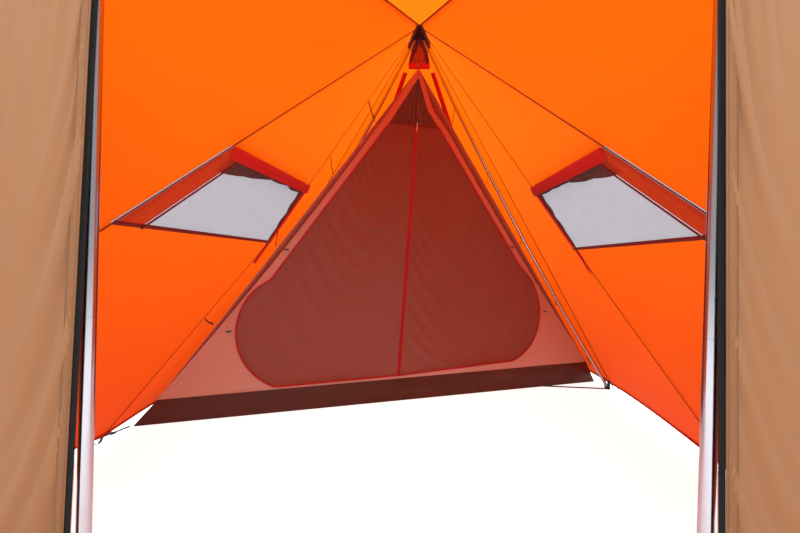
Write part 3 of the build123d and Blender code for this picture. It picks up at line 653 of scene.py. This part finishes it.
def make_floor():
    """A wide pale floor, lit from all sides as white paper is in a studio, with soft shade on it."""
    look = Look("studio_floor")
    matte = look.add("BsdfDiffuse", Color=(0.8, 0.8, 0.8, 1))
    paper = look.add("Emission", Color=(1, 1, 1, 1), Strength=0.9)
    glow = look.add("Emission", Color=(1, 1, 1, 1), Strength=0.4)
    seen = look.add("LightPath").outputs["Is Camera Ray"]
    light = look.add("MixShader", i0=seen, i1=glow.outputs[0], i2=paper.outputs[0])
    look.finish(look.add("AddShader", i0=matte.outputs[0], i1=light.outputs[0]))
    data = bpy.data.meshes.new("floor")
    corners = [(FLOOR_HALF * x, FLOOR_HALF * y, FLOOR_Z) for x, y in ((-1, -1), (1, -1), (1, 1), (-1, 1))]
    data.from_pydata(corners, [], [(0, 1, 2, 3)])
    data.materials.append(look.material)
    floor = bpy.data.objects.new("floor", data)
    bpy.context.scene.collection.objects.link(floor)


def make_world():
    world = bpy.data.worlds.new("studio")
    world.use_nodes = True
    background = world.node_tree.nodes["Background"]
    background.inputs["Color"].default_value = (1, 1, 1, 1)
    background.inputs["Strength"].default_value = 0.55
    bpy.context.scene.world = world
    bpy.context.scene.view_settings.view_transform = "Standard"


def soft_light(name, place, target, size, power):
    data = bpy.data.lights.new(name, "AREA")
    data.shape = "SQUARE"
    data.size = size
    data.energy = power
    lamp = bpy.data.objects.new(name, data)
    lamp.location = place
    lamp.rotation_euler = (Vector(target) - Vector(place)).to_track_quat("-Z", "Y").to_euler()
    bpy.context.scene.collection.objects.link(lamp)


make_camera()
make_floor()
make_world()
soft_light("overhead", (0, -0.6, 6.0), (0, -0.2, 1.0), 6.0, 820)
soft_light("front", (0.3, -6.0, 3.4), (0, -1.9, 1.2), 3.0, 60)


# ---- Fly ----
def seam_ends(side):
    ends = {"shoulder": SHOULDER[side], "bend": BEND[side], "mid_hem": MID_HEM[side]}
    for name, point in (("corner", CORNER), ("side_hem", SIDE_HEM), ("rear_hem", REAR_HEM)):
        ends[name] = mirror(point, side)
    return ends


def mid_seam(side):
    return chain([APEX, BEND[side], MID_HEM[side]])


def taut(seed, sag, creases=0.0016, across_scale=9.0):
    """A stretched panel: it dips between its seams, and creases run down it near them."""
    def bend(along, across):
        middle = 4 * across * (1 - across)
        dip = -sag * middle * math.sin(math.pi * min(1, along * 0.92 + 0.04))
        edge = (1 - middle) * middle * 4
        fold = creases * wave(seed, across * across_scale, along * 2.4) * (0.35 * middle + edge)
        return dip + fold * min(1, along * 6)
    return bend


def fly_panel(name, node, first, second, sag, seed, hem=0.012, look="fly"):
    obj = sheet_between(name, first, second, 90, 44, look, taut(seed, sag), hem)
    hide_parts(node)
    return declare(obj)


def window_column(side_name, side, ends):
    """The panels over and under a window, which reach from seam to seam."""
    front = {z: at_height(APEX, ends["shoulder"], z) for z in (WINDOW_TOP, WINDOW_BOTTOM)}
    back = {z: at_height(APEX, ends["bend"], z) for z in (WINDOW_TOP, WINDOW_BOTTOM)}
    upper = sheet_between(f"fly_upper_{side_name}_cloth", line(APEX, front[WINDOW_TOP]),
                          line(APEX, back[WINDOW_TOP]), 60, 32, "fly", taut(11 + side, 0.006))
    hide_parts(f"fly_upper_{side_name}")
    declare(upper)

    ground = mirror(FRONT_GROUND, side)
    front_edge = chain([front[WINDOW_BOTTOM], ends["shoulder"], ground])
    back_edge = line(back[WINDOW_BOTTOM], ends["mid_hem"])
    bend = taut(17 + side, 0.004, 0.004, 7.0)
    lower = sheet_between(f"fly_lower_{side_name}_cloth", front_edge, back_edge, 60, 36, "fly", bend, 0.01,
                          out=mirror(Vector((1, -0.2, 0.3)), side))
    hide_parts(f"fly_lower_{side_name}")
    declare(lower)
    return front, back


def fly_panels():
    left = seam_ends(-1)
    right = seam_ends(1)
    fly_panel("fly_roof_front_cloth", "fly_roof_front", line(APEX, left["corner"]),
              line(APEX, right["corner"]), 0.014, 1, 0.004, "roof")
    fly_panel("fly_back_cloth", "fly_back", line(APEX, left["rear_hem"]), line(APEX, right["rear_hem"]), 0.03, 2)
    for name, side in SIDES.items():
        ends = seam_ends(side)
        corner, shoulder = line(APEX, ends["corner"]), line(APEX, ends["shoulder"])
        ridge, rear = line(APEX, ends["side_hem"]), line(APEX, ends["rear_hem"])
        fly_panel(f"fly_roof_{name}_cloth", f"fly_roof_{name}", corner, shoulder, 0.012, 3 + side, 0.0)
        fly_panel(f"fly_side_{name}_cloth", f"fly_side_{name}", mid_seam(side), ridge, 0.008, 6 + side)
        fly_panel(f"fly_rear_side_{name}_cloth", f"fly_rear_side_{name}", ridge, rear, 0.03, 9 + side)


SEAM_STEPS = 60
RIDGE_TAPE_START = 6        # of those steps down from the peak: the hood covers the ridge above this
RIDGE_TAPE_WIDTH = 0.034
RIDGE_TAPE_LIFT = 0.017     # inside the fly
RIDGE_EDGE_SHIFT = 0.019
HEM_BINDING = (0.016, 0.0022)


def bowed(start, end, lift, count):
    """A straight edge whose middle is drawn up by lift."""
    return [p + lift * 4 * (i / count) * (1 - i / count) for i, p in enumerate(sampled(line(start, end), count))]


def fly_seams():
    """Felled seams in the fly, with tape on their inner face, and bindings along the hems."""
    tapes = []
    ridges = []
    folds = []
    for side in SIDES.values():
        ends = seam_ends(side)
        seams = ((line(APEX, ends["corner"]), 0.020, 0.004), (line(APEX, ends["shoulder"]), 0.018, 0.005),
                 (mid_seam(side), 0.009, 0.004), (line(APEX, ends["side_hem"]), 0.006, 0.004))
        for curve, width, lift in seams:
            path = sampled(curve, SEAM_STEPS)
            inward = (INSIDE - path[SEAM_STEPS // 2]).normalized()
            tapes.append(strip([p + inward * lift for p in path], width, 0.002, inward))
        path = sampled(line(APEX, ends["rear_hem"]), SEAM_STEPS)
        inward = (INSIDE - path[SEAM_STEPS // 2]).normalized()
        path = path[RIDGE_TAPE_START:]
        ridges.append(strip([p + inward * RIDGE_TAPE_LIFT for p in path], RIDGE_TAPE_WIDTH, 0.0016, inward))
        for way in (-1, 1):
            across = (ends["rear_hem"] - APEX).cross(inward).normalized() * (way * RIDGE_EDGE_SHIFT)
            edge = [p + inward * (RIDGE_TAPE_LIFT + 0.001) + across for p in path]
            tapes.append(strip(edge, 0.007, 0.002, inward))
        hems = [(mirror(FRONT_GROUND, side), ends["mid_hem"], 0.01), (ends["mid_hem"], ends["side_hem"], 0.012),
                (ends["side_hem"], ends["rear_hem"], 0.012)]
        for start, end, slack in hems:
            curve = bowed(start, end, (APEX - (start + end) / 2) * slack, 30)
            folds.append(strip(curve, *HEM_BINDING, (lerp(start, end, 0.5) - INSIDE).normalized()))
    lift = (APEX - REAR_HEM) * 0.012
    lift.x = 0
    curve = bowed(mirror(REAR_HEM, -1), REAR_HEM, lift, 40)
    folds.append(strip(curve, *HEM_BINDING, Vector((0, 1, 0.5))))
    seam = joined("fly_seam_tapes", tapes, "seam")
    ridge = joined("fly_ridge_tapes", ridges, "red")
    hem = joined("fly_hem_bindings", folds, "fly_fold")


# ---- Windows ----
def window(name, side, front, back):
    corners = [front[WINDOW_BOTTOM], front[WINDOW_TOP], back[WINDOW_TOP], back[WINDOW_BOTTOM]]
    normal = (corners[1] - corners[0]).cross(corners[3] - corners[0]).normalized()
    if normal.dot(corners[0] - INSIDE) < 0:
        normal = -normal

    def crumple(along, across):
        rim = min(1, 6 * min(along, 1 - along, across, 1 - across))
        return -0.0006 - 0.002 * rim * abs(wave(31 + side, across * 7, along * 5))

    pane = sheet_between(f"window_film_{name}_sheet", line(corners[0], corners[1]), line(corners[3], corners[2]),
                         40, 60, "film", crumple)
    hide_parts(f"window_film_{name}")
    declare(pane)
    window_bands(name, side, corners, normal)
    window_cover(name, side, corners, normal)


FLAP_WIDTH = 0.105


def window_bands(name, side, corners, normal):
    """The bands sewn round the window: a wide gathered flap in front, a red band along the top,
    a narrow red one behind and a bound edge below, with a red tail at the lower back corner."""
    front_bottom, front_top, back_top, back_bottom = corners
    inner = -normal

    def gathered(along, across):
        return 0.011 + 0.005 * abs(wave(41 + side, along * 9, across * 2.5)) * math.sin(math.pi * across)

    across_way = (back_bottom - front_bottom).normalized()
    far = lerp(front_top, back_top, FLAP_WIDTH / (back_top - front_top).length)
    low_edge = front_bottom + across_way * FLAP_WIDTH
    flap = sheet_between(f"window_flap_{name}", line(front_bottom, front_top), line(low_edge, far),
                         70, 14, "flap", gathered, out=inner)
    declare(flap)

    # Each band's ends, width, and how far it lies inside the window.
    edges = {
        "seam": [(low_edge, far, 0.009, 0.015), (front_bottom, back_bottom, 0.014, 0.012)],
        "red": [(back_bottom, back_top, 0.026, 0.012), (front_top, back_top, 0.05, 0.017)],
    }
    middle = (corners[0] + corners[2]) / 2
    for look, bands_round in edges.items():
        tapes = []
        for start, end, width, lift in bands_round:
            along = (end - start).normalized()
            into = (middle - start) - along * (middle - start).dot(along)
            shift = into.normalized() * (width * 0.45) + inner * lift
            path = sampled(line(start + shift, end + shift), 24)
            tapes.append(strip(path, width, 0.0016, inner))
        if look == "red":
            tail = (back_bottom - back_top).normalized()
            path = sampled(line(back_bottom + inner * 0.004, back_bottom + tail * 0.13 + inner * 0.004), 8)
            tapes.append(strip(path, 0.03, 0.0016, inner))
        obj = joined(f"window_{'edging' if look == 'seam' else 'bands'}_{name}", tapes, look)
        if look == "red":
            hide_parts(f"window_frame_{name}")


COVER_RADIUS = 0.0155
COVER_STEPS = 70
FRINGE_LIFT = 0.0075        # the fringe hangs inside the window, behind the flap


def window_cover(name, side, corners, normal):
    """The brown storm cover, rolled up outside along the window's top, its lower edge scalloped
    where the ties gather it."""
    front_bottom, front_top, back_top, back_bottom = corners
    clear = normal * (COVER_RADIUS + 0.0022)
    start, end = (lerp(front_top, back_top, share) + clear for share in (0.04, 0.96))
    path = sampled(line(start, end), COVER_STEPS)
    length = (end - start).length
    points, flats = [], []
    count = 28
    for i, centre in enumerate(path):
        along = (path[min(i + 1, COVER_STEPS)] - path[max(i - 1, 0)]).normalized()
        across = along.cross(normal).normalized()
        squeeze = 1 - 0.22 * sum(math.exp(-((i / COVER_STEPS - tie) / 0.02) ** 2) for tie in (0.2, 0.5, 0.8))
        for k in range(count):
            angle = math.tau * k / count
            step = 0.9 + 0.1 * (k / count)
            r = COVER_RADIUS * squeeze * (step + 0.06 * wave(51 + side, i * 0.12, k * 0.5))
            points.append(centre + across * (r * math.cos(angle)) + normal * (r * math.sin(angle)))
            flats.append((i / COVER_STEPS * length, k / count * 0.1))
    roll = new_mesh(f"window_cover_{name}_roll", points, tube_faces(len(path), count), "cover", flats)
    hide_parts(f"window_cover_{name}")

    inner = -normal
    down = (front_bottom - front_top).normalized()

    def scallop(share, base, depth, waves, seed):
        return base + depth * abs(math.sin(math.pi * waves * share)) + 0.010 * wave(seed, share * 6, 0)

    first = lerp(front_top, back_top, 0.6 * FLAP_WIDTH / (back_top - front_top).length)

    def edge_top(share):
        return lerp(first, back_top, share) + inner * FRINGE_LIFT

    def edge_low(share):
        hang = float(np.interp(share, (0, 0.25, 0.6, 1), (0.15, 0.125, 0.07, 0.08)))
        fall = scallop(1 - share, hang, 0.012, 4, 61 + side)
        return lerp(first, back_top, share) + down * fall + inner * FRINGE_LIFT

    fringe = sheet_between(f"window_cover_{name}_edge", edge_top, edge_low, 60, 8, "cover",
                           lambda along, across: 0.003 * wave(71, along * 12, across * 3), out=inner)
    declare(fringe)

    side_way = (front_bottom - back_bottom).normalized()

    def back_edge(share):
        return lerp(back_top, back_bottom, share) + inner * 0.0068

    def back_low(share):
        return back_edge(share) + side_way * scallop(share, 0.045 * (1 - share) + 0.02, 0.010, 4, 81 + side)

    flank = sheet_between(f"window_cover_{name}_side", back_edge, back_low, 40, 6, "cover",
                          lambda along, across: 0.002 * wave(91, along * 9, across * 3), out=inner)
    declare(flank)


# ---- Front wall ----
def front_walls():
    """Tan walls that hang from the roof's corner in soft upright folds."""
    for name, side in SIDES.items():
        foot, top = mirror(JAMB_FOOT, side), mirror(JAMB_TOP, side)
        outer = chain([mirror(FRONT_GROUND, side), SHOULDER[side], mirror(CORNER, side)])

        def folds(along, across):
            hold = math.sin(math.pi * min(1, max(0, across))) ** 0.5 * min(1, (1 - along) * 4)
            broad = 0.010 * math.sin(across * 15 + 1.3 * side + along * 0.8)
            fine = 0.006 * wave(101 + side, across * 12, along * 1.5)
            return hold * (broad + fine) + 0.0015 * wave(111 + side, across * 30, along * 3)

        wall = sheet_between(f"front_wall_{name}_cloth", line(foot, top), outer, 90, 60, "tan", folds,
                             out=Vector((0, -1, 0)))
        drape(wall, grid_edges(90, 60, ("first", "second", "high")), 0.006)
        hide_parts(f"front_wall_{name}")
        declare(wall)

        out = Vector((0, -1, 0))
        path = sampled(line(foot, top), 60)
        hem_path = [p + Vector((side * 0.012, -0.0016, 0)) for p in path]
        hem = joined(f"front_hem_{name}", [strip(hem_path, 0.024, 0.002, out)], "tan_hem")
        rows = []
        for shift in (0.004, 0.021):
            rows += stitches([p + Vector((side * shift, -0.0029, 0)) for p in path[::10]], out)
        thread = joined(f"front_hem_{name}_stitches", rows, "thread")


def front_zips():
    """Black zip tapes on both jambs, with a coil along each free edge."""
    parts, coils = [], []
    out = Vector((0, -1, 0))
    low, high = (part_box("front_zip_tapes")[k].z for k in (0, 1))
    for side in SIDES.values():
        foot, top = mirror(JAMB_FOOT, side), mirror(JAMB_TOP, side)
        start, end = at_height(foot, top, low), at_height(foot, top, high)
        shift = Vector((-side * 0.0072, -0.0006, 0))
        path = sampled(line(start + shift, end + shift), 60)
        parts.append(strip(path, 0.0136, 0.0012, out))
        edge = Vector((-side * 0.0126, -0.0006, 0))
        coils += teeth([start + edge, end + edge], out)
    tape = joined("front_zip_tape_webbing", parts, "zip_tape")
    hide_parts("front_zip_tapes")
    coil = joined("front_zip_coils", coils, "coil")


def front_header():
    """The cloth over the entrance, and the front door rolled up under it in three ties."""
    lo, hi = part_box("front_header")
    start, end = Vector((lo.x, hi.y, lo.z)), Vector((hi.x, hi.y, lo.z))
    rise = Vector((0, 0, hi.z - lo.z))
    header = sheet_between("front_header_cloth", line(start, end), line(start + rise, end + rise), 50, 8, "tan",
                           lambda along, across: 0.002 * wave(121, along * 8, across * 2), out=Vector((0, -1, 0)))
    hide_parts("front_header")
    declare(header)

    lo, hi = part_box("front_door_roll")
    centre = Vector((0, (lo.y + hi.y) / 2, (lo.z + hi.z) / 2))
    radius = (hi.z - lo.z) / 2
    half = hi.x
    turns, around, along = 3.4, 150, 90
    points, faces, flats = [], [], []
    for i in range(along + 1):
        x = -half + 2 * half * i / along
        nip = 1 - 0.10 * sum(math.exp(-((x - tie) / 0.035) ** 2) for tie in (-0.43, 0, 0.43))
        for k in range(around + 1):
            share = k / around
            angle = math.tau * turns * share + 0.5 * math.pi
            r = radius * (0.16 + 0.82 * share) * nip
            r *= 1 + 0.025 * wave(131, x * 9, angle * 1.1) * share
            points.append(centre + Vector((x, -r * math.cos(angle), r * math.sin(angle))))
            flats.append((x, share))
    for i in range(along):
        for k in range(around):
            a = i * (around + 1) + k
            faces.append((a, a + 1, a + around + 2, a + around + 1))
    roll = new_mesh("front_door_rolled_cloth", points, faces, "tan", flats)
    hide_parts("front_door_roll")
    assign("front_door_ties", "black_tape")


# ---- Peak ----
HOOD_DROP = 0.009           # under the fly
HOOD_LENGTH = 0.172         # down its back
HOOD_HALF_WIDTH = 0.072


def peak():
    """The dark red hood inside the peak, longer at the back, with a bright band on its edge."""
    reaches = {"corner": 0.05, "shoulder": 0.10, "bend": 0.16, "side_hem": 0.15, "rear_hem": 0.15}
    drop = Vector((0, 0, -HOOD_DROP))
    depth = HOOD_LENGTH * (REAR_HEM.y / (APEX.z - REAR_HEM.z))
    around, back = [], []
    for side in (-1, 1):
        ends = seam_ends(side)
        around.append([APEX + drop + (ends[key] - APEX).normalized() * reach for key, reach in reaches.items()])
        back.append(Vector((side * HOOD_HALF_WIDTH, depth, APEX.z - HOOD_LENGTH)) + drop)
    outline = around[1] + [back[1], back[0]] + around[0][::-1]
    outline.append(outline[0])
    rim = chain(outline)

    def pleat(along, across):
        return 0.0022 * wave(141, along * 46, across * 1.5) * across

    rows, columns = 150, 14
    points, faces, flats = [APEX + drop], [], []
    for i in range(rows):
        edge = rim(i / rows)
        inward = (INSIDE - edge).normalized()
        for j in range(1, columns + 1):
            across = j / columns
            points.append(lerp(APEX + drop, edge, across) + inward * (0.002 + pleat(i / rows, across)))
            flats.append((i / rows * 0.8, across * 0.2))
    flats.insert(0, (0, 0))
    for i in range(rows):
        a = 1 + i * columns
        b = 1 + (i + 1) % rows * columns
        faces.append((0, a, b))
        for j in range(columns - 1):
            faces.append((a + j, a + j + 1, b + j + 1, b + j))
    hood = new_mesh("peak_hood_cloth", points, faces, "dark_red", flats)
    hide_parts("apex_patch")

    inward = Vector((0, -1, -0.6)).normalized()
    down = back[1] - (APEX + drop)
    down.x = 0
    down.normalize()
    shift = down * 0.014 + inward * 0.004
    band_path = sampled(line(back[0] + shift, back[1] + shift), 12)
    band = joined("peak_band", [strip(band_path, 0.036, 0.0018, inward)], "red")
    edge_path = [p + down * 0.018 + inward * 0.001 for p in band_path]
    edging = joined("peak_band_edging", [strip(edge_path, 0.005, 0.0022, inward)], "black_tape")


# ---- Inner tent ----
def wall_curve(points, out=0.0):
    return chain([on_wall(p, out) for p in points])


def left_side():
    """The door's left edge, from its foot up to its top corner."""
    return arc(DOOR_FOOT_LEFT, DOOR_LEFT_BULGE, DOOR_HINGE_LEFT) + [DOOR_TOP_LEFT]


def right_side():
    return arc(DOOR_FOOT_RIGHT, DOOR_RIGHT_BULGE, DOOR_HINGE_RIGHT) + [DOOR_TOP_RIGHT]


def inner_front():
    """The border round the door, its sill, and the gathered mesh vent over the door."""
    left_outline = arc((-WALL_HALF, 0), WALL_LEFT_BULGE, WALL_PEAK, 60)
    right_outline = arc((WALL_HALF, 0), WALL_RIGHT_BULGE, WALL_RIGHT_NECK[0], 60) + [WALL_RIGHT_NECK[1], WALL_PEAK]
    halves = (("left", -1, left_outline, left_side() + [VENT_PEAK]),
              ("right", 1, right_outline, right_side() + [VENT_KNEE, VENT_PEAK]))
    for name, side, outline, opening in halves:
        outer = wall_curve(outline)
        inner = wall_curve([(opening[0][0], 0)] + opening)

        def pull(along, across):
            """Creases that run in from the low corner and from each tab."""
            spread = 4 * across * (1 - across)
            fan = 0.006 * wave(151 + side, (along * 30) * (0.4 + across), across * 1.5) * math.exp(-along * 5)
            tug = 0.003 * wave(161 + side, along * 22, across * 2)
            return (fan + tug) * (0.25 + spread)

        border = sheet_between(f"inner_border_{name}_cloth", outer, inner, 150, 16, "salmon", pull, out=WALL_OUT)
        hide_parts(f"inner_border_{name}")
        declare(border)
        binding = joined(f"inner_edge_{name}_binding",
                         [strip(sampled(outer, 90), 0.008, 0.003, WALL_OUT)], "salmon")

    start, end = (DOOR_FOOT_LEFT[0], 0), (DOOR_FOOT_RIGHT[0], 0)
    low = line(on_wall(start), on_wall(end))
    high = wall_curve([DOOR_FOOT_LEFT, ZIP_FOOT, DOOR_FOOT_RIGHT])
    sill = sheet_between("inner_sill_cloth", low, high, 60, 4, "salmon",
                         lambda along, across: 0.002 * wave(171, along * 9, across), out=WALL_OUT)
    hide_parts("inner_sill")
    declare(sill)

    def gathers(along, across):
        tight = 0.3 + 0.7 * (1 - along)
        return 0.007 * tight * math.sin(across * 44 + 2 * wave(181, across * 5, along * 2)) * math.sin(
            math.pi * min(1, across + 0.02))

    left = line(on_wall(DOOR_TOP_LEFT), on_wall(VENT_PEAK))
    right = wall_curve([DOOR_TOP_RIGHT, VENT_KNEE, VENT_PEAK])
    vent = sheet_between("inner_vent_netting", left, right, 40, 60, "vent", gathers, out=WALL_OUT)
    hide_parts("inner_vent_mesh")
    declare(vent)


def inner_doors():
    """Two door halves that hang in soft folds from the curved zip, and meet at the centre zip."""
    for name, side, edge in (("left", -1, left_side()), ("right", 1, right_side())):
        gap = side * 0.0012
        zip_line = [(ZIP_FOOT[0] + gap, ZIP_FOOT[1]), (ZIP_TOP[0] + gap, ZIP_TOP[1])]

        def folds(along, across):
            hold = min(1, 5 * across) * min(1, 5 * (1 - across)) * min(1, 12 * along) * min(1, 6 * (1 - along))
            hang = 0.010 * math.sin(across * 10 + 1.1 * side + along * 1.5) + 0.010 * wave(
                191 + side, across * 7 - along * 2 * side, along * 1.3)
            pull = 0.004 * wave(201 + side, across * 22, along * 5) * along
            return -0.006 * hold + hold * (hang + pull)

        body = f"inner_door_{name}"
        door = sheet_between(f"{body}_cloth", wall_curve(edge), wall_curve(zip_line), 130, 56, "door", folds,
                             body=body, out=WALL_OUT)
        drape(door, grid_edges(130, 56, ("low", "high", "first", "second")), 0.010)
        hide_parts(body)
        declare(door)
        tape = [on_wall((u + side * 0.004, v), 0.0012) for u, v in zip_line]
        ribbon = joined(f"{body}_zip_tape", [strip(sampled(line(*tape), 60), 0.010, 0.0014, WALL_OUT)],
                        "red_tape", body)
        coil = joined(f"{body}_zip_coil", teeth([on_wall(p, 0.0018) for p in zip_line], WALL_OUT, 0.0028, 0.0022),
                      "red_coil", body)


def inner_piping():
    """The red piping round the whole door, and the seam between the door and the vent."""
    left, right = left_side(), right_side()
    outline = left[::-1] + [ZIP_FOOT] + right
    path = sampled(wall_curve(outline, 0.003), 260)
    pipe = joined("inner_door_piping", [swept(path, round_section(0.0042), WALL_OUT)], "red_tape")
    top = sampled(wall_curve([DOOR_TOP_LEFT, DOOR_TOP_RIGHT], 0.003), 12)
    seam = joined("inner_vent_seam", [strip(top, 0.012, 0.003, WALL_OUT)], "seam")


def inner_shell():
    """The inner's side and back walls."""
    rear_left = mirror(TUB_TOP_REAR, -1)
    for name, start, end in (("left", TUB_TOP_LEFT, rear_left), ("right", TUB_TOP_RIGHT, TUB_TOP_REAR),
                             ("back", rear_left, TUB_TOP_REAR)):
        wall = sheet_between(f"inner_wall_{name}_cloth", line(INNER_APEX, start), line(INNER_APEX, end), 60, 36,
                             "salmon", taut(211, 0.03, 0.004))
        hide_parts(f"inner_wall_{name}")
        declare(wall)


def tub():
    """The coated floor with its turned-up sides."""
    floor_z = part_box("tub_floor")[1].z
    ground = [TUB_FRONT_LEFT, TUB_KINK, TUB_FRONT_RIGHT, TUB_REAR, mirror(TUB_REAR, -1)]
    ground = [Vector((p.x, p.y, floor_z)) for p in ground]
    left, kink, right, rear_right, rear_left = ground
    front = chain([left, kink, right])
    back = line(rear_left, rear_right)
    floor = sheet_between("tub_floor_cloth", front, back, 70, 70, "tub",
                          lambda along, across: 0.0012 * (1 + wave(221, along * 9, across * 9)),
                          out=Vector((0, 0, 1)))
    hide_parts("tub_floor")
    declare(floor)

    top_rear_left = mirror(TUB_TOP_REAR, -1)
    tops = {"front": (front, line(TUB_TOP_LEFT, TUB_TOP_RIGHT)),
            "left": (line(rear_left, left), line(top_rear_left, TUB_TOP_LEFT)),
            "right": (line(right, rear_right), line(TUB_TOP_RIGHT, TUB_TOP_REAR)),
            "back": (back, line(top_rear_left, TUB_TOP_REAR))}
    for name, (low, high) in tops.items():
        def slump(along, across):
            return 0.006 * math.sin(math.pi * across) * wave(231, along * 14, across * 2)

        wall = sheet_between(f"tub_{name}_cloth", low, high, 110, 10, "tub", slump)
        declare(wall)
    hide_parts("tub_walls")
    seam_path = sampled(line(on_wall((-WALL_HALF, 0), 0.002), on_wall((WALL_HALF, 0), 0.002)), 60)
    seam = joined("tub_top_seam", [strip(seam_path, 0.007, 0.002, WALL_OUT)], "tub")


# ---- Elastics and hooks ----
def struts(node):
    """The upper and lower end of each straight piece of a CAD node."""
    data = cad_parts[node].data
    keys = [tuple(round(c, 5) for c in vertex.co) for vertex in data.vertices]
    owner = {key: key for key in keys}

    def root(key):
        while owner[key] != key:
            key = owner[key]
        return key

    for edge in data.edges:
        owner[root(keys[edge.vertices[0]])] = root(keys[edge.vertices[1]])
    groups = {}
    for key in owner:
        groups.setdefault(root(key), []).append(Vector(key))
    ends = []
    for places in groups.values():
        middle = sum(places, Vector()) / len(places)
        far = max(places, key=lambda p: (p - middle).length) - middle
        halves = [[p for p in places if (p - middle).dot(far) * way > 0] for way in (1, -1)]
        ends.append(sorted((sum(half, Vector()) / len(half) for half in halves), key=lambda p: -p.z))
    return ends


def hangers():
    """Elastic straps that hold the inner to the fly and the pole, each with a bar-tacked end, and the
    hooks that catch them. Each strap's tri-glide is worked out but not built."""
    straps, glides = [], []
    for top, foot in struts("inner_hangers"):
        way = (foot - top).normalized()
        out = way.cross(Vector((0, 0, 1))).normalized()
        path = [lerp(top, foot, i / 10) - Vector((0, 0, 0.004 * math.sin(math.pi * i / 10))) for i in range(11)]
        straps.append(strip(path, 0.0075, 0.0014, out))
        tack = [lerp(top, foot, share) for share in (0, 0.06)]
        straps.append(strip(tack, 0.0095, 0.0034, out))
        glide = [lerp(top, foot, share) for share in (0.84, 0.94)]
        glides.append(strip(glide, 0.011, 0.0036, out))
    elastic = joined("hanger_elastics", straps, "elastic")
    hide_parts("inner_hangers")

    hooks = []
    for top, foot in struts("inner_hooks"):
        way = (foot - top).normalized()
        length = (foot - top).length
        out = way.cross(Vector((0, 0, 1))).normalized()
        bend = out.cross(way)
        reach = min(0.010, length * 0.3)
        path = [top, top + way * (length * 0.35)]
        for i in range(9):
            angle = math.pi * 1.35 * i / 8
            centre = foot - way * reach * 0.55
            path.append(centre + (bend * math.cos(angle) + way * math.sin(angle)) * reach * 0.5)
        hooks.append(swept(path, round_section(0.0016, 8), out))
        hooks.append(strip([top, top + way * min(0.009, length * 0.3)], 0.010, 0.0042, out))
    hook = joined("hanger_hooks", hooks, "plastic")
    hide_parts("inner_hooks")


# ---- CAD nodes that keep their shape ----
KEPT = {
    "aluminium": ["leg_left", "leg_right", "upright_lower_left", "upright_lower_right", "upright_upper_left",
                  "upright_upper_right", "pole_spigots"],
    "steel": ["peg_rings", "upright_tips"],
    "rubber": ["pole_feet"],
    "plastic": ["apex_hub", "corner_buckle", "door_toggles"],
    "black_tape": ["base_strap", "foot_webbing", "webbing_tabs", "corner_strap"],
    "zip_metal": ["front_slider_left", "front_slider_right", "inner_zip_slider"],
    "pull": ["inner_zip_pull"],
}

fly_panels()
for side_name, side_sign in SIDES.items():
    window_front, window_back = window_column(side_name, side_sign, seam_ends(side_sign))
    window(side_name, side_sign, window_front, window_back)
fly_seams()
front_walls()
front_zips()
front_header()
peak()
inner_front()
inner_doors()
inner_piping()
inner_shell()
tub()
hangers()
for look_name, nodes in KEPT.items():
    for node_name in nodes:
        assign(node_name, look_name)
